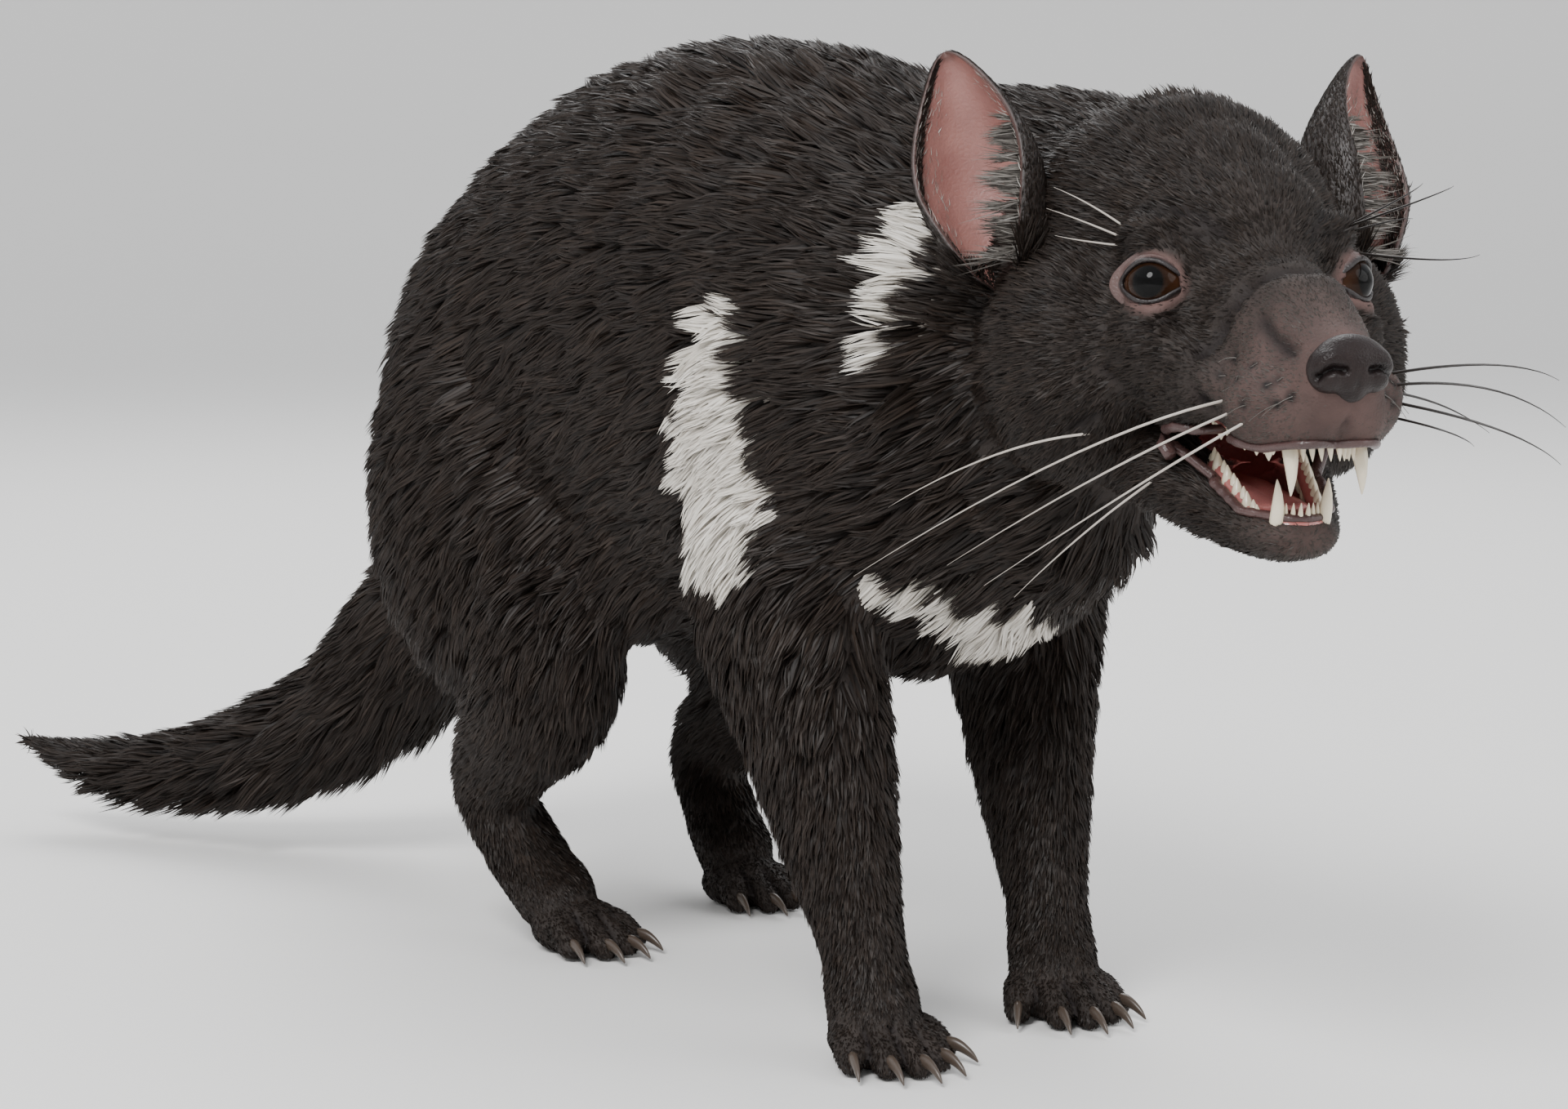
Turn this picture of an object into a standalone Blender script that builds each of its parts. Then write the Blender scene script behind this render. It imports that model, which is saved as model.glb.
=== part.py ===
"""Tasmanian devil, life size: a still model that stands with its back arched, its head turned
a little to its right and its mouth open. Metres, +X forward, +Y to the animal's left, +Z up.

The body, the head and each paw are each blended from plain masses into one smooth form, which
is then parted into the named pieces by thin cuts. Sizes on the head are in millimetres, in a
frame that sits midway between the eyes."""

import math
import random

import bmesh
import bpy
from mathutils import Matrix, Vector
from mathutils.bvhtree import BVHTree

# Driving sizes
MM = 0.001
GAP = 0.3 * MM  # between pieces that meet
EYES_AT = Vector((0.2575, -0.0175, 0.2465))  # midway between the eyes
HEAD_YAW = math.radians(-20)  # towards the animal's right
HEAD_PITCH = math.radians(4)  # nose up
EYE_PLACE = (-4, 28, -2.5)
EYE_LOOK = (0.78, 0.62, 0.06)
EYE_RADIUS = 9
EYE_OPENING = (7.6, 6.2)  # half width and half height between the lids
EAR_ROOT = (-62, 50, 4)
EAR_TIP = (-72, 67, 69)
EAR_HALF_WIDTH = 18.5
EAR_THICKNESS = 2.2
NOSE_PLACE = (63, 0, -27)
WRIST_HEIGHT = 0.030
ANKLE_HEIGHT = 0.034

# How finely each blended form is skinned over, how often it is smoothed, and its triangles
BODY_BLEND = (0.0035, 6, 2100)
HEAD_BLEND = (0.0016, 14, 2250)
PAW_BLEND = (0.0012, 3, 310)
NOSE_BLEND = (0.0009, 3, 240)
LID_ROUNDS = 3

# Locks: length, half width, half thickness, and how far it lifts off the coat for its length
TAIL_LOCK = (0.038, 0.0085, 0.0018, 0.50)
CHEEK_LOCK = (0.030, 0.0056, 0.0015, 0.66)
CHEST_LOCK = (0.034, 0.0075, 0.0016, 0.48)
HAUNCH_LOCK = (0.034, 0.0075, 0.0016, 0.48)
LOCK_SINK = 0.004  # how deep a root sits below the surface
FLOOR_CLEARANCE = 0.003

# Colours: red, green, blue, roughness
COAT = (0.020, 0.016, 0.014, 0.75)
BARE_SKIN = (0.42, 0.22, 0.20, 0.55)
NOSE_SKIN = (0.10, 0.06, 0.06, 0.35)
EYE_DARK = (0.012, 0.008, 0.007, 0.08)
TONGUE_PINK = (0.55, 0.23, 0.22, 0.40)

# Stations along each mass: x, y, z of its middle, half width, half height
TRUNK = (
    (-0.210, 0.009, 0.138, 0.030, 0.034),
    (-0.195, 0.009, 0.152, 0.051, 0.063),
    (-0.160, 0.009, 0.172, 0.069, 0.085),
    (-0.113, 0.007, 0.195, 0.079, 0.098),
    (-0.050, 0.003, 0.214, 0.080, 0.105),
    (0.020, -0.004, 0.216, 0.077, 0.104),
    (0.080, -0.010, 0.209, 0.073, 0.098),
    (0.128, -0.012, 0.199, 0.065, 0.088),
    (0.160, -0.011, 0.189, 0.050, 0.068),
    (0.180, -0.012, 0.182, 0.026, 0.040),
)
NECK = (
    (0.060, -0.002, 0.225, 0.064, 0.080),
    (0.108, 0.004, 0.231, 0.059, 0.074),
    (0.148, 0.010, 0.237, 0.053, 0.066),
    (0.185, 0.006, 0.240, 0.050, 0.057),
)
TAIL = (
    (-0.185, 0.004, 0.132, 0.036, 0.040),
    (-0.226, -0.004, 0.098, 0.033, 0.034),
    (-0.258, -0.019, 0.065, 0.029, 0.028),
    (-0.291, -0.042, 0.043, 0.024, 0.023),
    (-0.332, -0.066, 0.031, 0.018, 0.017),
    (-0.370, -0.086, 0.030, 0.012, 0.011),
    (-0.399, -0.101, 0.037, 0.004, 0.004),
)
# Legs: x, y, z, half width fore and aft, half width across the body
FORELEG = {
    "right": (
        (0.082, -0.050, 0.180, 0.048, 0.030),
        (0.092, -0.060, 0.142, 0.042, 0.027),
        (0.107, -0.061, 0.105, 0.032, 0.0215),
        (0.118, -0.059, 0.066, 0.0225, 0.0170),
        (0.127, -0.057, 0.036, 0.0150, 0.0135),
        (0.132, -0.056, 0.014, 0.0150, 0.0145),
    ),
    "left": (
        (0.072, 0.036, 0.180, 0.046, 0.030),
        (0.080, 0.041, 0.140, 0.040, 0.026),
        (0.090, 0.039, 0.103, 0.030, 0.0205),
        (0.099, 0.036, 0.066, 0.0215, 0.0165),
        (0.107, 0.034, 0.036, 0.0150, 0.0135),
        (0.113, 0.032, 0.014, 0.0150, 0.0145),
    ),
}
THIGH = {"right": (-0.098, -0.050, 0.160), "left": (-0.112, 0.058, 0.160)}
THIGH_RADII = (0.074, 0.037, 0.078)
THIGH_TILT = math.radians(25)
SHIN = {
    "right": (
        (-0.052, -0.058, 0.126, 0.044, 0.026),
        (-0.056, -0.060, 0.100, 0.036, 0.0235),
        (-0.084, -0.057, 0.074, 0.0250, 0.0180),
        (-0.100, -0.053, 0.054, 0.0180, 0.0145),
        (-0.088, -0.049, 0.034, 0.0150, 0.0140),
        (-0.072, -0.045, 0.018, 0.0140, 0.0145),
    ),
    "left": (
        (-0.076, 0.062, 0.126, 0.044, 0.026),
        (-0.080, 0.065, 0.100, 0.036, 0.0235),
        (-0.110, 0.063, 0.074, 0.0250, 0.0180),
        (-0.127, 0.060, 0.054, 0.0180, 0.0145),
        (-0.117, 0.057, 0.034, 0.0150, 0.0140),
        (-0.103, 0.055, 0.018, 0.0140, 0.0145),
    ),
}
# Paws: where the toes' roots stand, and the way that they point, in degrees from +X
FOREPAW = {"right": ((0.140, -0.056), -6), "left": ((0.122, 0.030), -14)}
HINDPAW = {"right": ((-0.056, -0.042), 4), "left": ((-0.088, 0.053), 0)}
# Toes from the inner side out: offset across, length, splay in degrees, how far back its root is
FORE_TOES = ((-13, 12, -26, 9), (-6.5, 17, -9, 3), (0, 18.5, 0, 1), (6.5, 17, 9, 3), (12, 13, 20, 8))
HIND_TOES = ((-10.5, 15, -14, 5), (-3.5, 18, -4, 1), (3.5, 18, 4, 1), (10.5, 15, 14, 5))
TOE_RADIUS = 5
CLAW_REACH = 10

# The ball that parts the head off the neck, and the air of the open mouth from the side, x and z
HEAD_END = ((-8, 0, -4), (88, 100, 88))
MOUTH_OUTLINE = ((-9, -43.5), (8, -42.5), (25, -45.5), (42, -50.5), (60, -50.5), (85, -45),
                 (85, -78), (45, -71), (33, -68.5), (20, -66), (7, -58.5), (-2, -50))

HEAD = (
    Matrix.Translation(EYES_AT)
    @ Matrix.Rotation(HEAD_YAW, 4, "Z")
    @ Matrix.Rotation(-HEAD_PITCH, 4, "Y")
    @ Matrix.Scale(MM, 4)
)


def clear_scene():
    for old in list(bpy.data.objects):
        bpy.data.objects.remove(old)


def sides():
    return (("right", -1), ("left", 1))


def material(name, look):
    """A Principled material of that colour and roughness."""
    made = bpy.data.materials.new(name)
    made.use_nodes = True
    shader = made.node_tree.nodes["Principled BSDF"]
    shader.inputs["Base Color"].default_value = (*look[:3], 1)
    shader.inputs["Roughness"].default_value = look[3]
    shader.inputs["Metallic"].default_value = 0
    return made


def new_object(name, form, place=None):
    """An object from a bmesh, with its faces pointing out."""
    if place is not None:
        form.transform(place)
    bmesh.ops.recalc_face_normals(form, faces=form.faces)
    if form.calc_volume(signed=True) < 0:
        bmesh.ops.reverse_faces(form, faces=form.faces)
    mesh = bpy.data.meshes.new(name)
    form.to_mesh(mesh)
    form.free()
    made = bpy.data.objects.new(name, mesh)
    bpy.context.scene.collection.objects.link(made)
    return made


def smooth_rows(rows, steps):
    """More rows between the given ones, on a curve through them."""
    rows = [Vector(row) for row in rows]
    ends = [2 * rows[0] - rows[1], *rows, 2 * rows[-1] - rows[-2]]
    made = []
    for before, start, end, after in zip(ends, ends[1:], ends[2:], ends[3:]):
        for step in range(steps):
            t = step / steps
            made.append(
                0.5 * (2 * start + (end - before) * t
                       + (2 * before - 5 * start + 4 * end - after) * t ** 2
                       + (3 * start - before - 3 * end + after) * t ** 3)
            )
    return made + [rows[-1]]


def tube(name, rows, up=(0, 0, 1), sides=20, steps=4, place=None, domes=(30, 60)):
    """A closed round form through rows of x, y, z, half width and half height. domes holds the
    angles of the rings in its rounded ends, or nothing for pointed ends."""
    rows = smooth_rows(rows, steps)
    last = len(rows) - 1
    form = bmesh.new()
    loops = []

    def loop(row, frame, shift, share):
        along, across, top = frame
        turns = [2 * math.pi * side / sides for side in range(sides)]
        middle = Vector(row[:3]) + along * shift
        return [
            form.verts.new(
                middle + across * (row[3] * share * math.cos(a)) + top * (row[4] * share * math.sin(a))
            )
            for a in turns
        ]

    for number, row in enumerate(rows):
        ahead, behind = rows[min(number + 1, last)], rows[max(number - 1, 0)]
        along = (Vector(ahead[:3]) - Vector(behind[:3])).normalized()
        across = Vector(up).cross(along).normalized()
        frame = (along, across, along.cross(across))
        reach = min(row[3], row[4])
        bends = [math.radians(dome) for dome in domes]
        if number == 0:
            loops += [loop(row, frame, -reach * math.sin(b), math.cos(b)) for b in bends[::-1]]
            start = form.verts.new(Vector(row[:3]) - along * reach)
        loops.append(loop(row, frame, 0, 1))
        if number == last:
            loops += [loop(row, frame, reach * math.sin(b), math.cos(b)) for b in bends]
            end = form.verts.new(Vector(row[:3]) + along * reach)
    for side in range(sides):
        other = (side + 1) % sides
        for first, second in zip(loops, loops[1:]):
            form.faces.new((first[side], first[other], second[other], second[side]))
        form.faces.new((start, loops[0][side], loops[0][other]))
        form.faces.new((end, loops[-1][side], loops[-1][other]))
    return new_object(name, form, place)


def ball(name, centre, radii, turn=None, place=None, finer=3):
    """An ellipsoid. turn is its rotation, and place the frame that it is written in."""
    form = bmesh.new()
    bmesh.ops.create_icosphere(form, subdivisions=finer, radius=1)
    form.transform(Matrix.Diagonal((*radii, 1)))
    if turn is not None:
        form.transform(turn.to_4x4())
    form.transform(Matrix.Translation(centre))
    return new_object(name, form, place)


def block(name, low, high, place=None):
    """A box between two corners."""
    form = bmesh.new()
    bmesh.ops.create_cube(form, size=1)
    low, high = Vector(low), Vector(high)
    form.transform(Matrix.Translation((low + high) / 2) @ Matrix.Diagonal((*(high - low), 1)))
    return new_object(name, form, place)


def prism(name, outline, half, place):
    """A form with that outline in x and z, from -half to half across."""
    form = bmesh.new()
    loops = [[form.verts.new((x, way * half, z)) for x, z in outline] for way in (-1, 1)]
    form.faces.new(loops[0])
    form.faces.new(loops[1])
    for corner in range(len(outline)):
        after = (corner + 1) % len(outline)
        form.faces.new((loops[0][corner], loops[0][after], loops[1][after], loops[1][corner]))
    return new_object(name, form, place)


def apply_modifiers(piece):
    graph = bpy.context.evaluated_depsgraph_get()
    mesh = bpy.data.meshes.new_from_object(piece.evaluated_get(graph))
    piece.modifiers.clear()
    piece.data = mesh


def boolean(piece, tools, operation):
    """Cuts, joins or crosses piece with all of the tools at once, and removes them."""
    group = bpy.data.collections.new("tools")
    for tool in tools:
        group.objects.link(tool)
    step = piece.modifiers.new(operation, "BOOLEAN")
    step.operation = operation
    step.solver = "EXACT"
    step.operand_type = "COLLECTION"
    step.collection = group
    apply_modifiers(piece)
    for tool in tools:
        bpy.data.objects.remove(tool)
    bpy.data.collections.remove(group)


def blend(name, masses, voxel, rounds):
    """One smooth form of several that overlap."""
    form = bmesh.new()
    for mass in masses:
        form.from_mesh(mass.data)
        bpy.data.objects.remove(mass)
    made = new_object(name, form)
    skin = made.modifiers.new("skin", "REMESH")
    skin.mode = "VOXEL"
    skin.voxel_size = voxel
    smooth = made.modifiers.new("smooth", "SMOOTH")
    smooth.factor = 0.5
    smooth.iterations = rounds
    apply_modifiers(made)
    return made


def thin_out(piece, triangles):
    """Leaves about that many triangles."""
    split = piece.modifiers.new("triangles", "TRIANGULATE")
    split.quad_method = "BEAUTY"
    apply_modifiers(piece)
    fewer = piece.modifiers.new("fewer", "DECIMATE")
    fewer.ratio = min(1, triangles / len(piece.data.polygons))
    apply_modifiers(piece)


def grown(piece, amount):
    """A copy that stands out from the piece by that much."""
    made = piece.copy()
    made.data = piece.data.copy()
    bpy.context.scene.collection.objects.link(made)
    moved = [corner.co + corner.normal * amount for corner in made.data.vertices]
    for corner, place in zip(made.data.vertices, moved):
        corner.co = place
    return made


def keep_largest(piece):
    """Drops all but the largest closed surface."""
    form = bmesh.new()
    form.from_mesh(piece.data)
    left = set(form.verts)
    islands = []
    while left:
        seed = left.pop()
        island, front = {seed}, [seed]
        while front:
            for edge in front.pop().link_edges:
                for corner in edge.verts:
                    if corner in left:
                        left.discard(corner)
                        island.add(corner)
                        front.append(corner)
        islands.append(island)
    islands.sort(key=len)
    for island in islands[:-1]:
        bmesh.ops.delete(form, geom=list(island), context="VERTS")
    form.to_mesh(piece.data)
    form.free()


def part_off(whole, name, shape):
    """Takes the share of whole inside a shape off it as a piece of its own. shape makes the
    cutter, grown by the amount that it is given, so that the two end up a gap apart."""
    piece = grown(whole, 0)
    piece.name = name
    boolean(piece, [shape(0)], "INTERSECT")
    boolean(whole, [shape(GAP)], "DIFFERENCE")
    keep_largest(piece)
    return piece


def ball_shape(centre, radii, turn=None, place=None, unit=1):
    def shape(grow):
        return ball("cutter", centre, [radius + grow / unit for radius in radii], turn, place, 2)
    return shape


def slab_shape(point, along, reach, half, place=None, unit=1):
    """A box that starts at a point and runs along a line from it."""
    turn = Vector(along).to_track_quat("X", "Z").to_matrix().to_4x4()
    frame = Matrix.Translation(point) @ turn
    if place is not None:
        frame = place @ frame

    def shape(grow):
        more = grow / unit
        low = (-more, -half - more, -half - more)
        return block("cutter", low, (reach, half + more, half + more), frame)
    return shape


def lock(spot, normal, lie, size):
    """A flat, tapered lock that leaves the surface and bends down along the lie of the coat."""
    length, wide, thick, lift = size
    lie = (lie - lie.dot(normal) * normal).normalized()
    rows = []
    for share, girth in ((0, 0.8), (0.35, 1), (0.7, 0.7), (1, 0.1)):
        rise = -LOCK_SINK + length * (lift * share - 0.20 * share ** 2)
        place = spot + normal * rise + lie * (length * (0.78 * share + 0.14 * share ** 2))
        rows.append((*place, wide * girth, thick * girth))
    return tube("lock", rows, up=normal, sides=4, steps=1, domes=())


def varied(size, rand):
    """A lock's size, a little longer or shorter and wider or narrower."""
    length, wide, thick, lift = size
    return (length * rand.uniform(0.82, 1.15), wide * rand.uniform(0.85, 1.1), thick, lift)


def grow_locks(node, casts, size, rand):
    """Fuses a lock to the node where each cast, an origin and a way, meets it. The third
    entry of a cast is the lie of the coat there."""
    tree = BVHTree.FromPolygons(
        [corner.co for corner in node.data.vertices],
        [face.vertices for face in node.data.polygons],
    )
    locks = []
    for origin, toward, lie in casts:
        spot, normal, _, _ = tree.ray_cast(origin, toward)
        if spot is not None:
            locks.append(lock(spot, normal, lie, varied(size, rand)))
    boolean(node, locks, "UNION")
    keep_largest(node)


def head_casts(way, rand):
    """Rays at the back edge of a cheek, from under the ear to the throat, in two rows."""
    turn = HEAD.to_3x3().normalized()
    casts = []
    for row, count, back in ((0, 6, -50), (1, 5, -64)):
        for number in range(count):
            a = math.radians(-14 + 74 * (number + 0.5 * row) / (count - 0.5) + rand.uniform(-2, 2))
            out = Vector((0, way * math.cos(a), -math.sin(a)))
            origin = HEAD @ (Vector((back, 0, -18)) + out * 120)
            lie = turn @ Vector((-0.85, way * 0.20, -0.50))
            casts.append((origin, turn @ -out, lie))
    return casts


def tail_casts(rows, count, angles, rand):
    """Rays at the tail between two of its stations, round it by the given angles from below."""
    casts = []
    for number in range(count):
        share = (number + 0.5) / count
        spot = Vector(rows[0][:3]).lerp(Vector(rows[1][:3]), share)
        along = (Vector(rows[1][:3]) - Vector(rows[0][:3])).normalized()
        across = Vector((0, 0, 1)).cross(along).normalized()
        for angle in angles[number % len(angles)]:
            a = math.radians(angle + rand.uniform(-8, 8))
            down = Vector((0, 0, -1)) * math.cos(a) + across * math.sin(a)
            out = (down - down.dot(along) * along).normalized()
            casts.append((spot + out * 0.1, -out, along))
    return casts


def clear_of(node, others):
    """Cuts a node back until it is a gap away from the others."""
    boolean(node, [grown(other, GAP) for other in others], "DIFFERENCE")
    keep_largest(node)


def grow_coat(nodes):
    """The locks that show in the outline: cheeks, chest, haunches and tail."""
    rand = random.Random(7)
    for _, way in sides():
        grow_locks(nodes["head"], head_casts(way, rand), CHEEK_LOCK, rand)
    clear_of(nodes["head"], [nodes["neck"], nodes["torso"]])
    rings = ((-66, -22, 22, 66), (-44, 0, 44))
    for name, first, last, count in (("tail_tip", 4, 5, 3), ("tail_middle", 2, 4, 5),
                                     ("tail_base", 1, 2, 3)):
        rows = (TAIL[first], TAIL[last])
        grow_locks(nodes[name], tail_casts(rows, count, rings, rand), TAIL_LOCK, rand)
    clear_of(nodes["tail_middle"], [nodes["tail_tip"]])
    clear_of(nodes["tail_base"], [nodes["tail_middle"], nodes["tail_tip"]])
    casts = []
    for number in range(5):
        y = -0.045 + 0.017 * number
        casts.append((Vector((0.145 + 0.006 * (number % 2), y, 0)), Vector((0, 0, 1)),
                      Vector((-0.8, 0, -0.5))))
    grow_locks(nodes["torso"], casts, CHEST_LOCK, rand)
    for side, way in sides():
        x, y, z = THIGH[side]
        casts = []
        for number in range(3):
            spot = Vector((x - 0.056 + 0.012 * number, y + way * 0.2, z - 0.030 - 0.020 * number))
            casts.append((spot, Vector((0, -way, 0)), Vector((-0.55, 0, -0.85))))
        grow_locks(nodes[f"thigh_{side}"], casts, HAUNCH_LOCK, rand)
        clear_of(nodes[f"thigh_{side}"], [nodes[f"shin_{side}"]])


def trim_floor(nodes):
    """Keeps the tail's locks off the floor."""
    for name in ("tail_base", "tail_middle", "tail_tip"):
        below = block("below", (-0.6, -0.3, -0.2), (-0.18, 0.3, FLOOR_CLEARANCE))
        boolean(nodes[name], [below], "DIFFERENCE")
        keep_largest(nodes[name])


def finish(piece, name, look):
    """Gives a node its name, material and shading."""
    piece.name = name
    piece.data.name = name
    piece.data.materials.clear()
    piece.data.materials.append(material(name, look))
    piece.data.shade_smooth()
    piece.data.set_sharp_from_angle(angle=math.radians(40))
    return piece


def make_body():
    """Trunk, neck, tail and limbs, as one smooth form."""
    masses = [
        tube("trunk", TRUNK, sides=28),
        tube("neck", NECK, sides=24),
        tube("tail", TAIL, sides=18),
    ]
    tilt = Matrix.Rotation(THIGH_TILT, 3, "Y")
    for side, _ in sides():
        masses.append(ball("thigh", THIGH[side], THIGH_RADII, tilt))
        masses.append(tube("shin", SHIN[side], up=(0, 1, 0), sides=16))
        masses.append(tube("foreleg", FORELEG[side], up=(0, 1, 0), sides=16))
    voxel, rounds, triangles = BODY_BLEND
    body = blend("body", masses, voxel, rounds)
    thin_out(body, triangles)
    return body


def head_ball(centre, radii, turn=None, finer=3):
    return ball("mass", centre, radii, turn, HEAD, finer)


def head_tube(rows):
    return tube("mass", rows, sides=18, place=HEAD)


def eye_frame(way):
    """The frame of one eye, with its x axis looking out of it."""
    look = Vector((EYE_LOOK[0], way * EYE_LOOK[1], EYE_LOOK[2]))
    x, y, z = EYE_PLACE
    return Matrix.Translation((x, way * y, z)) @ look.to_track_quat("X", "Z").to_matrix().to_4x4()


def lid_ring(way):
    """The swell of both lids round the eye."""
    frame = eye_frame(way)
    wide, high = EYE_OPENING[0] + 1.8, EYE_OPENING[1] + 1.8
    form = bmesh.new()
    rings = []
    for turn in range(24):
        a = 2 * math.pi * turn / 24
        out = Vector((0, math.cos(a), math.sin(a)))
        spot = Vector((0, wide * math.cos(a), high * math.sin(a)))
        spot.x = math.sqrt((EYE_RADIUS + 0.8) ** 2 - min(spot.length, EYE_RADIUS) ** 2)
        ring = []
        for step in range(8):
            b = 2 * math.pi * step / 8
            ring.append(form.verts.new(
                spot + 2.5 * (out * math.cos(b) + Vector((1, 0, 0)) * math.sin(b))))
        rings.append(ring)
    for first, second in zip(rings, rings[1:] + rings[:1]):
        for step in range(8):
            after = (step + 1) % 8
            form.faces.new((first[step], first[after], second[after], second[step]))
    return new_object("lids", form, HEAD @ frame)


def eye_window(way):
    """The air in front of the eye, between the lids."""
    wide, high = EYE_OPENING
    rows = [(x, 0, 0, wide * share, high * share) for x, share in ((2, 0.75), (9, 1), (40, 1.6))]
    return tube("window", rows, sides=20, steps=1, place=HEAD @ eye_frame(way))


def make_head():
    """Skull, cheeks, muzzle and lower jaw, with the mouth open between them."""
    masses = [
        tube("neck", NECK, sides=24),
        tube("chest", TRUNK[5:], sides=28),
        head_ball((-58, 0, 8), (50, 49, 49)),
        head_ball((-22, 0, 9), (38, 31, 27)),
        head_ball((-62, 0, -22), (46, 46, 44)),
        head_tube((
            (-15, 0, -13, 31, 31), (5, 0, -18, 22.5, 28), (26, 0, -23.5, 19.5, 25),
            (42, 0, -28.5, 17.5, 21), (52, 0, -31, 14.5, 17),
        )),
        head_tube((
            (-52, 0, -46, 37, 22), (-20, 0, -57, 31, 17), (4, 0, -67, 24, 12.5),
            (19, 0, -72, 18, 9.5), (28, 0, -73.5, 13, 7.5),
        )),
    ]
    for _, way in sides():
        masses.append(head_ball((-48, way * 37, -23), (37, 28, 38)))
        masses.append(head_ball((-13, way * 29, -19), (24, 13, 17)))
        masses.append(head_ball((-11, way * 23, 0), (17, 13, 15)))
        masses.append(head_ball((3, way * 23, -31), (26, 10, 14)))
        masses.append(head_ball((46, way * 7, -39), (15, 10, 13)))
        masses.append(head_ball((-13, way * 25, 12), (17, 11, 7)))
        masses.append(head_ball((36, way * 12, -38), (20, 11.5, 13)))
    voxel, rounds, triangles = HEAD_BLEND
    head = blend("head", masses, voxel, rounds)
    head = blend("head", [head, *(lid_ring(way) for _, way in sides())], voxel, LID_ROUNDS)
    thin_out(head, triangles)
    air = [
        prism("mouth", MOUTH_OUTLINE, 60, HEAD),
        head_ball((14, 0, -43), (38, 14, 9)),
        head_ball((2, 0, -61), (27, 13, 8)),
        head_ball((-18, 0, -49), (20, 14, 10)),
    ]
    for _, way in sides():
        x, y, z = EYE_PLACE
        air.append(head_ball((x, way * y, z), [EYE_RADIUS + GAP / MM] * 3))
        air.append(eye_window(way))
    boolean(head, air, "DIFFERENCE")
    keep_largest(head)
    return head


def make_nose():
    """The bare pad at the tip of the muzzle, with a pit for each nostril."""
    voxel, rounds, triangles = NOSE_BLEND
    x, y, z = NOSE_PLACE
    masses = [head_ball(NOSE_PLACE, (7, 11, 8.5))]
    masses += [head_ball((x, y + way * 6, z - 1), (6.5, 6, 6.5)) for _, way in sides()]
    pad = blend("nose", masses, voxel, rounds)
    thin_out(pad, triangles)
    pits = []
    for _, way in sides():
        out = Matrix.Rotation(math.radians(way * 35), 3, "Z")
        pits.append(head_ball((x + 5.5, y + way * 5.6, z - 1), (4, 2.6, 2.0), out, finer=1))
    boolean(pad, pits, "DIFFERENCE")
    keep_largest(pad)
    return pad


def make_tongue():
    """Lies on the floor of the mouth, a little dished along its middle."""
    rows = ((-26, 0, -59, 8, 3.6), (-10, 0, -61, 9.5, 3.6), (6, 0, -64, 9.5, 3.0),
            (17, 0, -65.5, 8.0, 2.4), (23, 0, -65.5, 5.0, 1.8))
    return tube("tongue", rows, sides=12, steps=1, place=HEAD)


def tooth(root, tip, wide, deep, bend=0.0):
    """A tooth that tapers from its root to its point."""
    root, tip = Vector(root), Vector(tip)
    bow = Vector((bend, 0, 0))
    rows = []
    for share, girth in ((0, 1), (0.4, 0.92), (0.75, 0.6), (1, 0.18)):
        spot = root.lerp(tip, share) + bow * math.sin(math.pi * share)
        rows.append((*spot, deep * girth, wide * girth))
    return tube("tooth", rows, up=(0, 1, 0), sides=5, steps=1, place=HEAD, domes=())


def upper_teeth():
    """Four incisors, a canine and five cheek teeth on each side."""
    made = []
    for _, way in sides():
        made.append(tooth((45, way * 11, -46), (47.5, way * 11.5, -62.5), 2.3, 2.8, 1.4))
        for number in range(4):
            x, y = 57.5 - 1.7 * number, 1.5 + 2.3 * number
            made.append(tooth((x, way * y, -47), (x + 0.6, way * y, -54.3), 1.1, 1.3))
        for number in range(5):
            x, y = 35 - 6.4 * number, 14 + 2.1 * number
            high = -51.8 + 1.45 * number
            made.append(tooth((x, way * y, high + 11), (x - 1, way * y, high), 2.2, 3.7))
    return made


def lower_teeth():
    """Three incisors, a canine and five cheek teeth on each side."""
    made = []
    for _, way in sides():
        made.append(tooth((28.5, way * 8.5, -71.5), (32.5, way * 9.5, -57), 2.1, 2.5, 1.2))
        for number in range(3):
            y = 1.3 + 2.2 * number
            made.append(tooth((35 - number, way * y, -71), (36.5 - number, way * y, -64.2), 1.0, 1.2))
        for number in range(5):
            x, y, z = 20 - 4.9 * number, 12.5 + 1.9 * number, -67.5 + 3.6 * number
            made.append(tooth((x, way * y, z - 3), (x + 0.5, way * y, z + 4.6), 2.0, 3.1))
    return made


def make_ear(way):
    """A cupped leaf, rolled like a funnel at its root and open forward and outward."""
    columns, levels = 10, 8
    root = Vector((EAR_ROOT[0], way * EAR_ROOT[1], EAR_ROOT[2]))
    rise = Vector((EAR_TIP[0], way * EAR_TIP[1], EAR_TIP[2])) - root
    lean = rise.normalized()
    facing = Vector((0.80, way * 0.60, 0))
    facing = (facing - facing.dot(lean) * lean).normalized()
    across = lean.cross(facing)
    form = bmesh.new()
    grid = []
    for level in range(levels + 1):
        v = level / levels
        taper = math.sqrt(1 - max(0, (v - 0.40) / 0.60) ** 2)
        radius = max(EAR_HALF_WIDTH * (0.62 + 0.38 * math.sin(math.pi * v / 1.1)) * taper, 1.5)
        spread = math.radians(150 - 78 * v)
        row = []
        for column in range(columns + 1):
            a = spread * (2 * column / columns - 1)
            off = across * (radius * math.sin(a)) - facing * (radius * (math.cos(a) - 0.3))
            row.append(form.verts.new(root + rise * v + off))
        grid.append(row)
    for low, high in zip(grid, grid[1:]):
        for column in range(columns):
            form.faces.new((low[column], low[column + 1], high[column + 1], high[column]))
    ear = new_object("ear", form, HEAD)
    shell = ear.modifiers.new("shell", "SOLIDIFY")
    shell.thickness = EAR_THICKNESS * MM
    shell.offset = 0
    apply_modifiers(ear)
    return ear


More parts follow.
